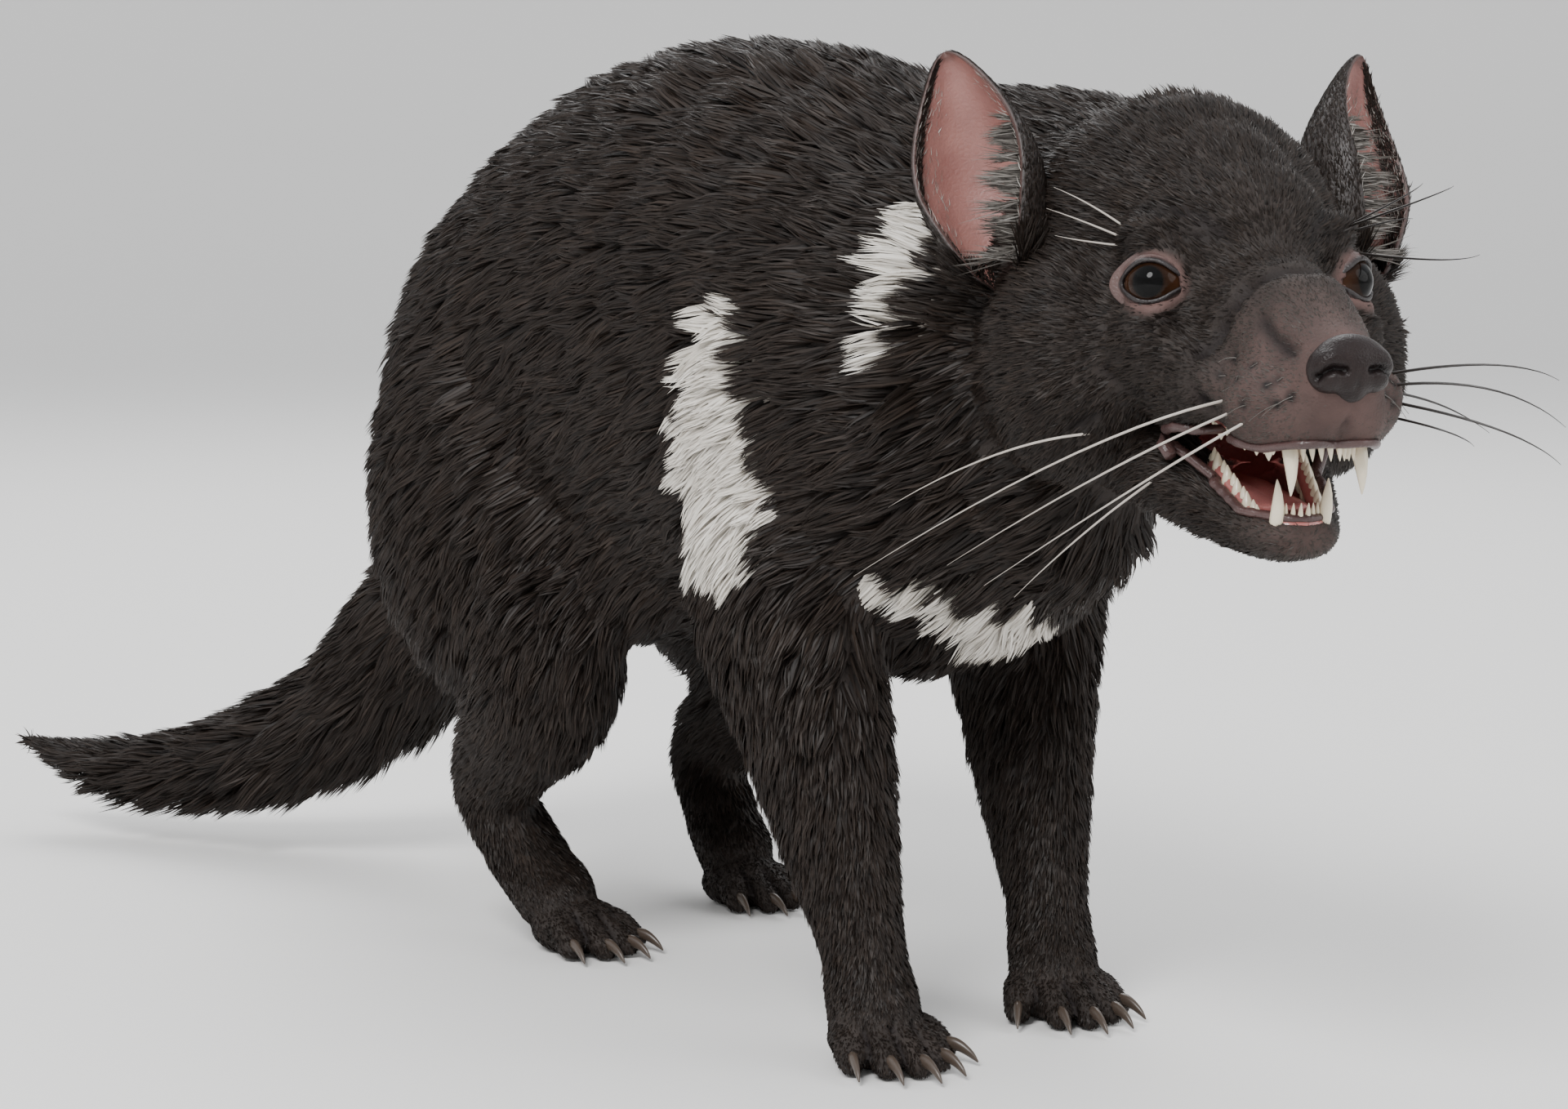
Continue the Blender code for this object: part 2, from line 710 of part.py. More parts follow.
def toe(root, heading, length, frame):
    """One toe, arched from its knuckle down to its pad."""
    ahead = Vector((math.cos(heading), math.sin(heading), 0))
    rows = []
    for share, height, girth in ((0, 9.5, 1.1), (0.45, 9.2, 1.05), (0.8, 6.2, 1.0), (1, 4.4, 0.9)):
        spot = Vector((*root, height)) + ahead * (length * share)
        rows.append((*spot, TOE_RADIUS * girth, TOE_RADIUS * girth))
    return tube("toe", rows, sides=12, steps=3, place=frame)


def claw(root, heading, start, frame):
    """A curved claw from the toe's end down towards the floor."""
    ahead = Vector((math.cos(heading), math.sin(heading), 0))
    rows = []
    for share, height, girth in ((-0.4, 6.4, 2.3), (0.3, 6.0, 1.9), (0.7, 4.1, 1.3), (1, 1.6, 0.5)):
        spot = Vector((*root, height)) + ahead * (start + CLAW_REACH * share)
        rows.append((*spot, girth * 0.75, girth))
    return tube("claw", rows, sides=6, steps=1, place=frame, domes=())


def make_paw(spot, degrees, leg, toes, way, height):
    """A paw with its toes and claws, cut level at the floor and where the leg starts."""
    turn = Matrix.Rotation(math.radians(degrees), 4, "Z")
    frame = Matrix.Translation((*spot, 0)) @ turn @ Matrix.Scale(MM, 4)
    masses = [
        tube("leg", leg, up=(0, 1, 0), sides=16),
        ball("palm", (-6, 0, 8.5), (17, 16, 10.5), None, frame),
    ]
    claws = []
    for across, length, splay, back in toes:
        root = (-back, way * across)
        heading = math.radians(way * splay)
        masses.append(toe(root, heading, length, frame))
        claws.append(claw(root, heading, length + 2.5, frame))
    voxel, rounds, triangles = PAW_BLEND
    paw = blend("paw", masses, voxel, rounds)
    thin_out(paw, triangles)
    boolean(paw, claws, "UNION")
    low = Matrix.Translation((*spot, 0))
    below = block("below", (-0.12, -0.12, -0.05), (0.12, 0.12, 0), low)
    above = block("above", (-0.12, -0.12, height), (0.12, 0.12, 0.3), low)
    boolean(paw, [below, above], "DIFFERENCE")
    keep_largest(paw)
    return paw


def part_head(head):
    """Parts the lower jaw off the head, and sets teeth, nose, tongue and eyes."""
    rear = ball_shape(*HEAD_END, None, HEAD, MM)
    whole = part_off(head, "head", rear)
    bpy.data.objects.remove(head)
    jaw_turn = (math.cos(math.radians(18)), 0, -math.sin(math.radians(18)))
    jaw = part_off(whole, "jaw", slab_shape((-18, 0, -94), jaw_turn, 120, 50, HEAD, MM))
    boolean(whole, upper_teeth(), "UNION")
    boolean(jaw, lower_teeth(), "UNION")
    nose = make_nose()
    boolean(whole, [grown(nose, GAP)], "DIFFERENCE")
    tongue = make_tongue()
    boolean(tongue, [grown(jaw, GAP), grown(whole, GAP)], "DIFFERENCE")
    for piece in (whole, jaw, tongue):
        keep_largest(piece)
    nodes = [
        finish(whole, "head", COAT),
        finish(jaw, "jaw", COAT),
        finish(nose, "nose", NOSE_SKIN),
        finish(tongue, "tongue", TONGUE_PINK),
    ]
    for side, way in sides():
        x, y, z = EYE_PLACE
        eye = head_ball((x, way * y, z), [EYE_RADIUS] * 3, finer=2)
        nodes.append(finish(eye, f"eye_{side}", EYE_DARK))
    return nodes


def part_body(body):
    """Parts the tail, the limbs and the neck off the trunk."""
    nodes = []

    def take(name, shape):
        nodes.append(finish(part_off(body, name, shape), name, COAT))

    boolean(body, [ball_shape(*HEAD_END, None, HEAD, MM)(GAP)], "DIFFERENCE")
    take("tail_tip", slab_shape((-0.340, -0.070, 0.029), (-1, -0.52, -0.15), 0.2, 0.05))
    take("tail_middle", slab_shape((-0.278, -0.034, 0.050), (-1, -0.62, -0.55), 0.2, 0.05))
    take("tail_base", slab_shape((-0.228, -0.004, 0.100), (-1, -0.30, -0.85), 0.2, 0.05))
    for side, way in sides():
        x, y, _ = SHIN[side][1][:3]
        lower = slab_shape((x - 0.01, y, 0.100), (-0.35, 0, -1), 0.3, 0.055)
        take(f"shin_{side}", lower)
        x, y, _ = FORELEG[side][2][:3]
        take(f"forearm_{side}", slab_shape((x, y, 0.112), (0.25, 0, -1), 0.3, 0.045))
        x, y, z = THIGH[side]
        tilt = Matrix.Rotation(THIGH_TILT, 3, "Y")
        take(f"thigh_{side}", ball_shape((x + 0.012, y + way * 0.022, z - 0.008),
                                         (0.090, 0.046, 0.092), tilt))
        x, y, z = FORELEG[side][1][:3]
        take(f"upper_arm_{side}", ball_shape((x - 0.004, y + way * 0.008, z + 0.010),
                                             (0.050, 0.042, 0.066)))
    take("neck", slab_shape((0.105, -0.014, 0.235), (0.93, -0.20, 0.42), 0.3, 0.12))
    keep_largest(body)
    nodes.append(finish(body, "torso", COAT))
    return nodes


def cut_level(node, spot, height):
    """Cuts a leg level where its paw starts."""
    low = Matrix.Translation((*spot, 0))
    boolean(node, [block("below", (-0.1, -0.1, -0.1), (0.1, 0.1, height + GAP), low)], "DIFFERENCE")
    keep_largest(node)


def set_down(nodes):
    """Moves the animal so that the bottom middle of its box is the origin."""
    corners = [corner.co for node in nodes for corner in node.data.vertices]
    low = [min(corner[axis] for corner in corners) for axis in range(3)]
    high = [max(corner[axis] for corner in corners) for axis in range(3)]
    shift = Matrix.Translation((-(low[0] + high[0]) / 2, -(low[1] + high[1]) / 2, -low[2]))
    for node in nodes:
        node.data.transform(shift)


def main():
    clear_scene()
    nodes = part_head(make_head())
    body = make_body()
    for side, _ in sides():
        cut_level(body, FOREPAW[side][0], WRIST_HEIGHT)
    body_nodes = part_body(body)
    nodes += body_nodes
    for side, way in sides():
        spot, degrees = FOREPAW[side]
        paw = make_paw(spot, degrees, FORELEG[side][2:], FORE_TOES, way, WRIST_HEIGHT)
        nodes.append(finish(paw, f"forepaw_{side}", COAT))
        spot, degrees = HINDPAW[side]
        paw = make_paw(spot, degrees, SHIN[side][2:], HIND_TOES, way, ANKLE_HEIGHT)
        nodes.append(finish(paw, f"hindpaw_{side}", COAT))
    near_ears = [node for node in nodes if node.name in ("head", "neck")]
    for side, way in sides():
        ear = make_ear(way)
        boolean(ear, [grown(node, GAP) for node in near_ears], "DIFFERENCE")
        keep_largest(ear)
        nodes.append(finish(ear, f"ear_{side}", BARE_SKIN))
    for node in body_nodes:
        if node.name.startswith("shin"):
            cut_level(node, HINDPAW[node.name.split("_")[1]][0], ANKLE_HEIGHT)
    by_name = {node.name: node for node in nodes}
    grow_coat(by_name)
    trim_floor(by_name)
    set_down(nodes)


main()
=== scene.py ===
import math

import bmesh
import bpy
import numpy as np
from mathutils import Matrix, Vector, kdtree
from mathutils.bvhtree import BVHTree


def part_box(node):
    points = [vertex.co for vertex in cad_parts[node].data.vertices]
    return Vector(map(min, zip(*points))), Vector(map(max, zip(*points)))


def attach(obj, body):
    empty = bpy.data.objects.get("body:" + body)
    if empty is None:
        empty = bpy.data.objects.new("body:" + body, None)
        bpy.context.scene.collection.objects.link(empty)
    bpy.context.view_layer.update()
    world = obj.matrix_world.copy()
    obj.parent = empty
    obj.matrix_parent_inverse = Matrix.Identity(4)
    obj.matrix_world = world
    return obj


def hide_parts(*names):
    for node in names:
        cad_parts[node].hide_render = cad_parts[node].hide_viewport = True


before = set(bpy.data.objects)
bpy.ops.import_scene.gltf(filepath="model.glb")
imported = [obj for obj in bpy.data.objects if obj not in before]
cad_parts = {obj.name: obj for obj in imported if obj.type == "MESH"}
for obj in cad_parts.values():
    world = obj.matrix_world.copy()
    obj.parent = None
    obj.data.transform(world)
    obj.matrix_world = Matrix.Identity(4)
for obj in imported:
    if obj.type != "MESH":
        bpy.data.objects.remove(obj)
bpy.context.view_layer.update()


# Where the animal stands. It is laid out round a point midway between its eyes, on the head in
# millimetres with x towards the nose, y to the animal's left and z up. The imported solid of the
# right eye says where that point is.
EYES = Vector((0.2575, -0.0175, 0.2465))  # where the layout of the body has that point
EYE_PLACE = (-4, 28, -2.5)  # the left eye's middle on the head
right_eye = sum(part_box("eye_right"), Vector()) / 2
head_turn = Matrix.Rotation(math.radians(-20), 4, "Z") @ Matrix.Rotation(math.radians(-4), 4, "Y")
head_place = (
    Matrix.Translation(right_eye) @ head_turn @ Matrix.Scale(0.001, 4)
    @ Matrix.Translation((-EYE_PLACE[0], EYE_PLACE[1], -EYE_PLACE[2]))
)
body_place = Matrix.Translation(head_place.translation - EYES)
SIDES = (("right", -1), ("left", 1))


# The camera stands a little above the animal's head, ahead of it and to its right, where the
# drawing is seen from.
camera_data = bpy.data.cameras.new("camera")
camera_data.lens = 82.55
camera_data.sensor_width = 36
camera = bpy.data.objects.new("camera", camera_data)
bpy.context.scene.collection.objects.link(camera)
camera.location = body_place @ Vector((1.0058, -0.7162, 0.2737))
look_at = body_place @ Vector((-0.0010, 0.0046, 0.1436))
camera.rotation_euler = (look_at - camera.location).to_track_quat("-Z", "Y").to_euler()
bpy.context.scene.camera = camera


# The floor is a plain pale sheet that curves up into a wall all round, far from the animal, as in
# a photographer's studio.
floor_mesh = bpy.data.meshes.new("floor")
floor_form = bmesh.new()
loops = []
for reach, height in ((1.2, 0), (3.0, 0), (4.4, 0), (5.2, 0.08), (5.8, 0.32), (6.2, 0.75),
                      (6.4, 1.4), (6.45, 2.2), (6.45, 3.2)):
    loops.append([floor_form.verts.new((reach * math.cos(a), reach * math.sin(a), height))
                  for a in (math.radians(5 * step) for step in range(72))])
floor_form.faces.new(loops[0])
for inner, outer in zip(loops, loops[1:]):
    for step in range(72):
        after = (step + 1) % 72
        floor_form.faces.new((inner[step], outer[step], outer[after], inner[after]))
floor_form.to_mesh(floor_mesh)
floor_form.free()
floor_mesh.shade_smooth()
floor = bpy.data.objects.new("floor", floor_mesh)
bpy.context.scene.collection.objects.link(floor)


def paint(name, **values):
    """A new material and its node tree, with values for the shader's sockets."""
    made = bpy.data.materials.new(name)
    made.use_nodes = True
    for socket, value in values.items():
        shader = made.node_tree.nodes["Principled BSDF"]
        shader.inputs[socket.replace("_", " ")].default_value = value
    return made, made.node_tree


floor_paint, _ = paint("pale floor", Base_Color=(0.80, 0.79, 0.775, 1), Roughness=0.9)
floor_mesh.materials.append(floor_paint)


# The light is soft and plain: a wide key from the front and above, a weaker fill from the other
# side, and one from behind that draws the edge of the dark coat.
studio = bpy.data.worlds.new("studio")
bpy.context.scene.world = studio
studio.use_nodes = True
studio.node_tree.nodes["Background"].inputs["Color"].default_value = (0.90, 0.92, 0.95, 1)
studio.node_tree.nodes["Background"].inputs["Strength"].default_value = 1.15
for lamp_name, spot, width, power in (
    ("key", (1.2, -1.9, 2.2), 1.3, 92),
    ("fill", (2.2, 1.3, 1.2), 2.0, 22),
    ("rim", (-1.5, 0.9, 2.0), 1.8, 32),
):
    lamp_data = bpy.data.lights.new(lamp_name, "AREA")
    lamp_data.shape = "DISK"
    lamp_data.size = width
    lamp_data.energy = power
    lamp = bpy.data.objects.new(lamp_name, lamp_data)
    lamp.location = spot
    aim = Vector((0, 0, 0.15)) - lamp.location
    lamp.rotation_euler = aim.to_track_quat("-Z", "Y").to_euler()
    bpy.context.scene.collection.objects.link(lamp)


# The body is muscle and fat under one hide: a deep arched trunk, a thick neck, a tail that is fat
# at its root, and four legs. Each is a round mass laid out by stations of x, y, z, half width and
# half height, and they are blended into one form.
TRUNK = (
    (-0.210, 0.009, 0.138, 0.030, 0.034),
    (-0.195, 0.009, 0.152, 0.051, 0.063),
    (-0.160, 0.009, 0.172, 0.069, 0.085),
    (-0.113, 0.007, 0.195, 0.079, 0.098),
    (-0.050, 0.003, 0.214, 0.080, 0.105),
    (0.020, -0.004, 0.216, 0.077, 0.104),
    (0.080, -0.010, 0.209, 0.073, 0.098),
    (0.128, -0.012, 0.199, 0.065, 0.088),
    (0.160, -0.011, 0.189, 0.050, 0.068),
    (0.180, -0.012, 0.182, 0.026, 0.040),
)
NECK = (
    (0.060, -0.002, 0.225, 0.064, 0.080),
    (0.108, 0.004, 0.231, 0.059, 0.074),
    (0.148, 0.010, 0.237, 0.053, 0.066),
    (0.185, 0.006, 0.240, 0.050, 0.057),
)
TAIL = (
    (-0.185, 0.004, 0.132, 0.036, 0.040),
    (-0.226, -0.004, 0.098, 0.033, 0.034),
    (-0.258, -0.019, 0.065, 0.029, 0.028),
    (-0.291, -0.042, 0.043, 0.024, 0.023),
    (-0.332, -0.066, 0.031, 0.018, 0.017),
    (-0.370, -0.086, 0.030, 0.012, 0.011),
    (-0.399, -0.101, 0.037, 0.004, 0.004),
)
FORELEG = {
    "right": (
        (0.082, -0.050, 0.180, 0.048, 0.030),
        (0.092, -0.060, 0.142, 0.042, 0.027),
        (0.107, -0.061, 0.105, 0.032, 0.0215),
        (0.118, -0.059, 0.066, 0.0225, 0.0170),
        (0.127, -0.057, 0.036, 0.0150, 0.0135),
        (0.132, -0.056, 0.014, 0.0150, 0.0145),
    ),
    "left": (
        (0.072, 0.036, 0.180, 0.046, 0.030),
        (0.080, 0.041, 0.140, 0.040, 0.026),
        (0.090, 0.039, 0.103, 0.030, 0.0205),
        (0.099, 0.036, 0.066, 0.0215, 0.0165),
        (0.107, 0.034, 0.036, 0.0150, 0.0135),
        (0.113, 0.032, 0.014, 0.0150, 0.0145),
    ),
}
SHIN_GIRTHS = ((0.044, 0.026), (0.036, 0.0235), (0.0250, 0.0180), (0.0180, 0.0145),
               (0.0150, 0.0140), (0.0140, 0.0145))
SHIN_LINES = {
    "right": ((-0.052, -0.058, 0.126), (-0.056, -0.060, 0.100), (-0.084, -0.057, 0.074),
              (-0.100, -0.053, 0.054), (-0.088, -0.049, 0.034), (-0.072, -0.045, 0.018)),
    "left": ((-0.076, 0.062, 0.126), (-0.080, 0.065, 0.100), (-0.110, 0.063, 0.074),
             (-0.127, 0.060, 0.054), (-0.117, 0.057, 0.034), (-0.103, 0.055, 0.018)),
}
SHIN = {side: tuple((*spot, *girths) for spot, girths in zip(line, SHIN_GIRTHS))
        for side, line in SHIN_LINES.items()}
THIGH = {"right": (-0.098, -0.050, 0.160), "left": (-0.112, 0.058, 0.160)}
THIGH_RADII = (0.074, 0.037, 0.078)
THIGH_TILT = math.radians(25)


def smooth_rows(rows, steps):
    """More stations between the given ones, on a curve through them."""
    rows = [np.array(row, float) for row in rows]
    ends = [2 * rows[0] - rows[1], *rows, 2 * rows[-1] - rows[-2]]
    made = []
    for before, start, end, after in zip(ends, ends[1:], ends[2:], ends[3:]):
        for step in range(steps):
            t = step / steps
            made.append(
                0.5 * (2 * start + (end - before) * t
                       + (2 * before - 5 * start + 4 * end - after) * t ** 2
                       + (3 * start - before - 3 * end + after) * t ** 3)
            )
    return made + [rows[-1]]


def new_piece(name, form, place=None):
    """An object from a bmesh, with its faces pointing out."""
    if place is not None:
        form.transform(place)
    bmesh.ops.recalc_face_normals(form, faces=form.faces)
    if form.calc_volume(signed=True) < 0:
        bmesh.ops.reverse_faces(form, faces=form.faces)
    mesh = bpy.data.meshes.new(name)
    form.to_mesh(mesh)
    form.free()
    mesh.shade_smooth()
    piece = bpy.data.objects.new(name, mesh)
    bpy.context.scene.collection.objects.link(piece)
    return piece


def close_rings(form, rings, start, end):
    """Faces between rings of corners, and from the outer rings to a corner at each end."""
    around = len(rings[0])
    for side in range(around):
        after = (side + 1) % around
        for first, second in zip(rings, rings[1:]):
            form.faces.new((first[side], first[after], second[after], second[side]))
        form.faces.new((start, rings[0][side], rings[0][after]))
        form.faces.new((end, rings[-1][side], rings[-1][after]))


def add_tube(form, rows, up=(0, 0, 1), around=20, steps=4, domes=(30, 60)):
    """Adds a closed round mass through stations of x, y, z, half width and half height. Its
    ends are rounded by rings at the angles of domes."""
    rows = [Vector(row) for row in smooth_rows(rows, steps)]
    last = len(rows) - 1
    rings = []
    for number, row in enumerate(rows):
        along = Vector(rows[min(number + 1, last)][:3]) - Vector(rows[max(number - 1, 0)][:3])
        along.normalize()
        across = Vector(up).cross(along).normalized()
        top = along.cross(across)
        reach = min(row[3], row[4])
        dome = [(reach * math.sin(math.radians(a)), math.cos(math.radians(a))) for a in domes]
        cuts = [(0, 1)]
        if number == 0:
            cuts = [(-shift, share) for shift, share in dome[::-1]] + cuts
            start = form.verts.new(Vector(row[:3]) - along * reach)
        if number == last:
            cuts += dome
            end = form.verts.new(Vector(row[:3]) + along * reach)
        for shift, share in cuts:
            middle = Vector(row[:3]) + along * shift
            rings.append([
                form.verts.new(middle + across * (row[3] * share * math.cos(a))
                               + top * (row[4] * share * math.sin(a)))
                for a in (2 * math.pi * side / around for side in range(around))
            ])
    close_rings(form, rings, start, end)


def tube(name, rows, up=(0, 0, 1), around=20, steps=4, place=body_place):
    form = bmesh.new()
    add_tube(form, rows, up, around, steps)
    return new_piece(name, form, place)


def ball(name, centre, radii, turn=None, place=body_place):
    form = bmesh.new()
    bmesh.ops.create_icosphere(form, subdivisions=4, radius=1)
    form.transform(Matrix.Diagonal((*radii, 1)))
    if turn is not None:
        form.transform(turn.to_4x4())
    form.transform(Matrix.Translation(centre))
    return new_piece(name, form, place)


def settle(piece):
    """Applies a piece's modifiers."""
    graph = bpy.context.evaluated_depsgraph_get()
    mesh = bpy.data.meshes.new_from_object(piece.evaluated_get(graph))
    piece.modifiers.clear()
    piece.data = mesh


def skin_over(name, masses, voxel, rounds):
    """One smooth form over masses that overlap, which it uses up."""
    form = bmesh.new()
    for mass in masses:
        form.from_mesh(mass.data)
        bpy.data.objects.remove(mass)
    made = new_piece(name, form)
    hide = made.modifiers.new("hide", "REMESH")
    hide.mode = "VOXEL"
    hide.voxel_size = voxel
    smooth = made.modifiers.new("smooth", "SMOOTH")
    smooth.factor = 0.5
    smooth.iterations = rounds
    settle(made)
    return made


masses = [tube("trunk", TRUNK, around=40), tube("neck", NECK, around=36),
          tube("tail", TAIL, around=28)]
for side, way in SIDES:
    tilt = Matrix.Rotation(THIGH_TILT, 3, "Y")
    fold = (SHIN[side][0][0] + 0.030, way * 0.044, 0.152)
    masses.append(ball("fold", fold, (0.044, 0.023, 0.036)))
    masses.append(ball("thigh", THIGH[side], THIGH_RADII, tilt))
    masses.append(tube("shin", SHIN[side], up=(0, 1, 0), around=24))
    masses.append(tube("foreleg", FORELEG[side], up=(0, 1, 0), around=24))
body = skin_over("body", masses, voxel=0.0026, rounds=12)


# The paws are bare-soled, with five toes in front and four behind, each arched from its knuckle
# to its pad. They are blended more finely than the body, and stand level on the floor.
PAWS = {  # where the toes' roots stand, and the way that they point, in degrees from +X
    ("fore", "right"): ((0.140, -0.056), -6), ("fore", "left"): ((0.122, 0.030), -14),
    ("hind", "right"): ((-0.056, -0.042), 4), ("hind", "left"): ((-0.088, 0.053), 0),
}
TOES = {  # offset across, length, splay in degrees, and how far back its root is
    "fore": ((-13, 12, -26, 9), (-6.5, 17, -9, 3), (0, 18.5, 0, 1), (6.5, 17, 9, 3),
             (12, 13, 20, 8)),
    "hind": ((-10.5, 15, -14, 5), (-3.5, 18, -4, 1), (3.5, 18, 4, 1), (10.5, 15, 14, 5)),
}
TOE = ((0, 9.5, 5.3), (0.30, 9.9, 4.7), (0.55, 8.2, 5.1), (0.8, 6.0, 4.7), (1, 4.4, 4.3))


def paw_place(end, side):
    spot, degrees = PAWS[end, side]
    turn = Matrix.Rotation(math.radians(degrees), 4, "Z")
    return body_place @ Matrix.Translation((*spot, 0)) @ turn @ Matrix.Scale(0.001, 4)


def toes(end, side):
    """The root, heading and length of each toe of a paw."""
    way = dict(SIDES)[side]
    return [((-back, way * across), math.radians(way * splay), length)
            for across, length, splay, back in TOES[end]]


def toe_line(root, heading, length, stations):
    """Stations along a toe: its share of the length, height and girth."""
    ahead = Vector((math.cos(heading), math.sin(heading), 0))
    return [(*(Vector((*root, height)) + ahead * (length * share)), girth, girth)
            for share, height, girth in stations]


paws = []
for end, side in PAWS:
    leg = (FORELEG if end == "fore" else SHIN)[side]
    masses = [
        tube("leg", leg[2:], up=(0, 1, 0), around=24),
        ball("palm", (-6, 0, 8.3), (17, 16, 10.2), None, paw_place(end, side)),
    ]
    for toe in toes(end, side):
        masses.append(tube("toe", toe_line(*toe, TOE), around=14, steps=3,
                           place=paw_place(end, side)))
    paws.append(skin_over("paw", masses, voxel=0.0010, rounds=3))


# The head is broad and heavy in the jaw: a domed skull, deep cheeks, a brow over each eye, and a
# short strong muzzle with a full pad for the whiskers on each side of the nose. It is blended
# closed, and the mouth and the eyes' sockets are cut into it afterwards.
HEAD_END = ((-8, 0, -4), (88, 100, 88))  # the ball round the head, past which the body begins
SKULL = (((-58, 0, 8), (50, 49, 49)), ((-22, 0, 9), (38, 31, 27)),
         ((-40, 0, 14), (42, 31, 34)), ((-62, 0, -22), (46, 46, 44)))
MUZZLE = ((-15, 0, -13, 31, 31), (5, 0, -18, 22.5, 28), (26, 0, -23.5, 19.5, 25),
          (42, 0, -28.5, 17.5, 21), (52, 0, -31, 14.5, 17))
JAW = ((-52, 0, -46, 37, 22), (-20, 0, -57, 31, 17), (4, 0, -67, 24, 12.5),
       (19, 0, -72, 18, 9.5), (28, 0, -73.5, 13, 7.5))
FACE_PAIRS = (
    ((-48, 37, -23), (37, 28, 38)),  # the jaw's muscle
    ((-13, 29, -19), (24, 13, 17)),  # the cheekbone
    ((-11, 23, 0), (17, 13, 15)),  # round the eye
    ((3, 23, -31), (26, 10, 14)),  # the cheek's front
    ((46, 7, -39), (15, 10, 13)),  # the upper lip
    ((-13, 25, 12), (17, 11, 7)),  # the brow
    ((36, 12, -38), (20, 11.5, 13)),  # the whiskers' pad
)
EYE_LOOK = (0.78, 0.62, 0.06)
EYE_RADIUS = 9
EYE_OPENING = (7.6, 6.2)
UPPER_EDGE = ((-9, -43.5), (8, -42.5), (25, -45.5), (42, -48.6), (60, -47.4), (85, -45))
LOWER_EDGE = ((-9, -43.5), (-2, -50), (7, -58.5), (20, -66), (33, -68.5), (45, -71), (85, -78))
MOUTH_OUTLINE = UPPER_EDGE + LOWER_EDGE[:0:-1]


def head_ball(centre, radii):
    return ball("mass", centre, radii, None, head_place)


def eye_frame(way):
    """The frame of one eye in millimetres, with its x axis looking out of it."""
    look = Vector((EYE_LOOK[0], way * EYE_LOOK[1], EYE_LOOK[2]))
    x, y, z = EYE_PLACE
    return Matrix.Translation((x, way * y, z)) @ look.to_track_quat("X", "Z").to_matrix().to_4x4()


masses = [tube("neck", NECK, around=36), tube("chest", TRUNK[5:], around=40)]
masses += [head_ball(*mass) for mass in SKULL]
masses += [tube("mass", rows, around=28, place=head_place) for rows in (MUZZLE, JAW)]
for _, way in SIDES:
    masses += [head_ball((x, way * y, z), radii) for (x, y, z), radii in FACE_PAIRS]
head = skin_over("head", masses, voxel=0.0015, rounds=26)


def surface_of(piece):
    """A piece's surface as it is now, to look up points on."""
    mesh = piece.data
    return BVHTree.FromPolygons([tuple(corner.co) for corner in mesh.vertices],
                                [tuple(face.vertices) for face in mesh.polygons])


closed_head = surface_of(head)
outline = bmesh.new()
flanks = [[outline.verts.new((x, way * 60, z)) for x, z in MOUTH_OUTLINE] for way in (-1, 1)]
outline.faces.new(flanks[0])
outline.faces.new(flanks[1])
for corner in range(len(MOUTH_OUTLINE)):
    after = (corner + 1) % len(MOUTH_OUTLINE)
    outline.faces.new((flanks[0][corner], flanks[0][after], flanks[1][after], flanks[1][corner]))
openings = [new_piece("mouth", outline, head_place), head_ball((14, 0, -43), (38, 14, 9)),
            head_ball((2, 0, -61), (27, 13, 8)), head_ball((-18, 0, -49), (20, 14, 10))]
for _, way in SIDES:
    x, y, z = EYE_PLACE
    openings.append(head_ball((x, way * y, z), [EYE_RADIUS - 0.2] * 3))
    window = [(out, 0, 0, EYE_OPENING[0] * share, EYE_OPENING[1] * share)
              for out, share in ((2, 0.8), (9, 1.05), (40, 1.8))]
    openings.append(tube("window", window, steps=1, place=head_place @ eye_frame(way)))
cutters = bpy.data.collections.new("openings")
for opening in openings:
    cutters.objects.link(opening)
cut = head.modifiers.new("openings", "BOOLEAN")
cut.operation = "DIFFERENCE"
cut.solver = "EXACT"
cut.operand_type = "COLLECTION"
cut.collection = cutters
settle(head)
for opening in openings:
    bpy.data.objects.remove(opening)
bpy.data.collections.remove(cutters)


# One hide covers the flesh from lips to tail tip without a seam. It is thinned where the body is
# plain and left fine on the head and paws, then lies back by the depth of the coat that grows on
# it, and takes the folds of the face.
HIDE_SHARE_KEPT = 0.29  # of the faces that the blending makes
hide = skin_over("hide", [body, head, *paws], voxel=0.0013, rounds=2)
thin = hide.modifiers.new("thin", "DECIMATE")
thin.ratio = HIDE_SHARE_KEPT
settle(hide)


def corner_places(mesh):
    """The places and the outward ways of a mesh's corners."""
    places = np.empty(len(mesh.vertices) * 3)
    mesh.vertices.foreach_get("co", places)
    ways = np.empty(len(mesh.vertices) * 3)
    mesh.vertices.foreach_get("normal", ways)
    return places.reshape(-1, 3), ways.reshape(-1, 3)


def move(points, place):
    """Points carried through a matrix."""
    turn = np.array(place)
    return points @ turn[:3, :3].T + turn[:3, 3]


def folded(points, way):
    """Points with all their y on one side: way is 1 for the left and -1 for the right."""
    return points * [1, 0, 1] + way * np.abs(points) * [0, 1, 0]


def ramp(values, low, high):
    """0 below low and 1 above high, eased between them."""
    t = np.clip((values - low) / (high - low), 0, 1)
    return t * t * (3 - 2 * t)


def bump(points, centre, radius):
    """1 at a centre, falling to 0 past the radius, which may differ along x, y and z."""
    away = ((points - np.array(centre)) / np.array(radius)) ** 2
    return np.exp(-2 * away.sum(1))


def line_distance(points, line):
    """How far points are from a line through the given ones."""
    line = np.array(line, float)
    best = np.full(len(points), 1e9)
    for start, end in zip(line, line[1:]):
        run = end - start
        share = np.clip(((points - start) @ run) / (run @ run), 0, 1)
        best = np.minimum(best, np.linalg.norm(points - start - share[:, None] * run, axis=1))
    return best


def unit(ways):
    """Directions brought to a length of 1."""
    return ways / np.maximum(np.linalg.norm(ways, axis=-1, keepdims=True), 1e-9)


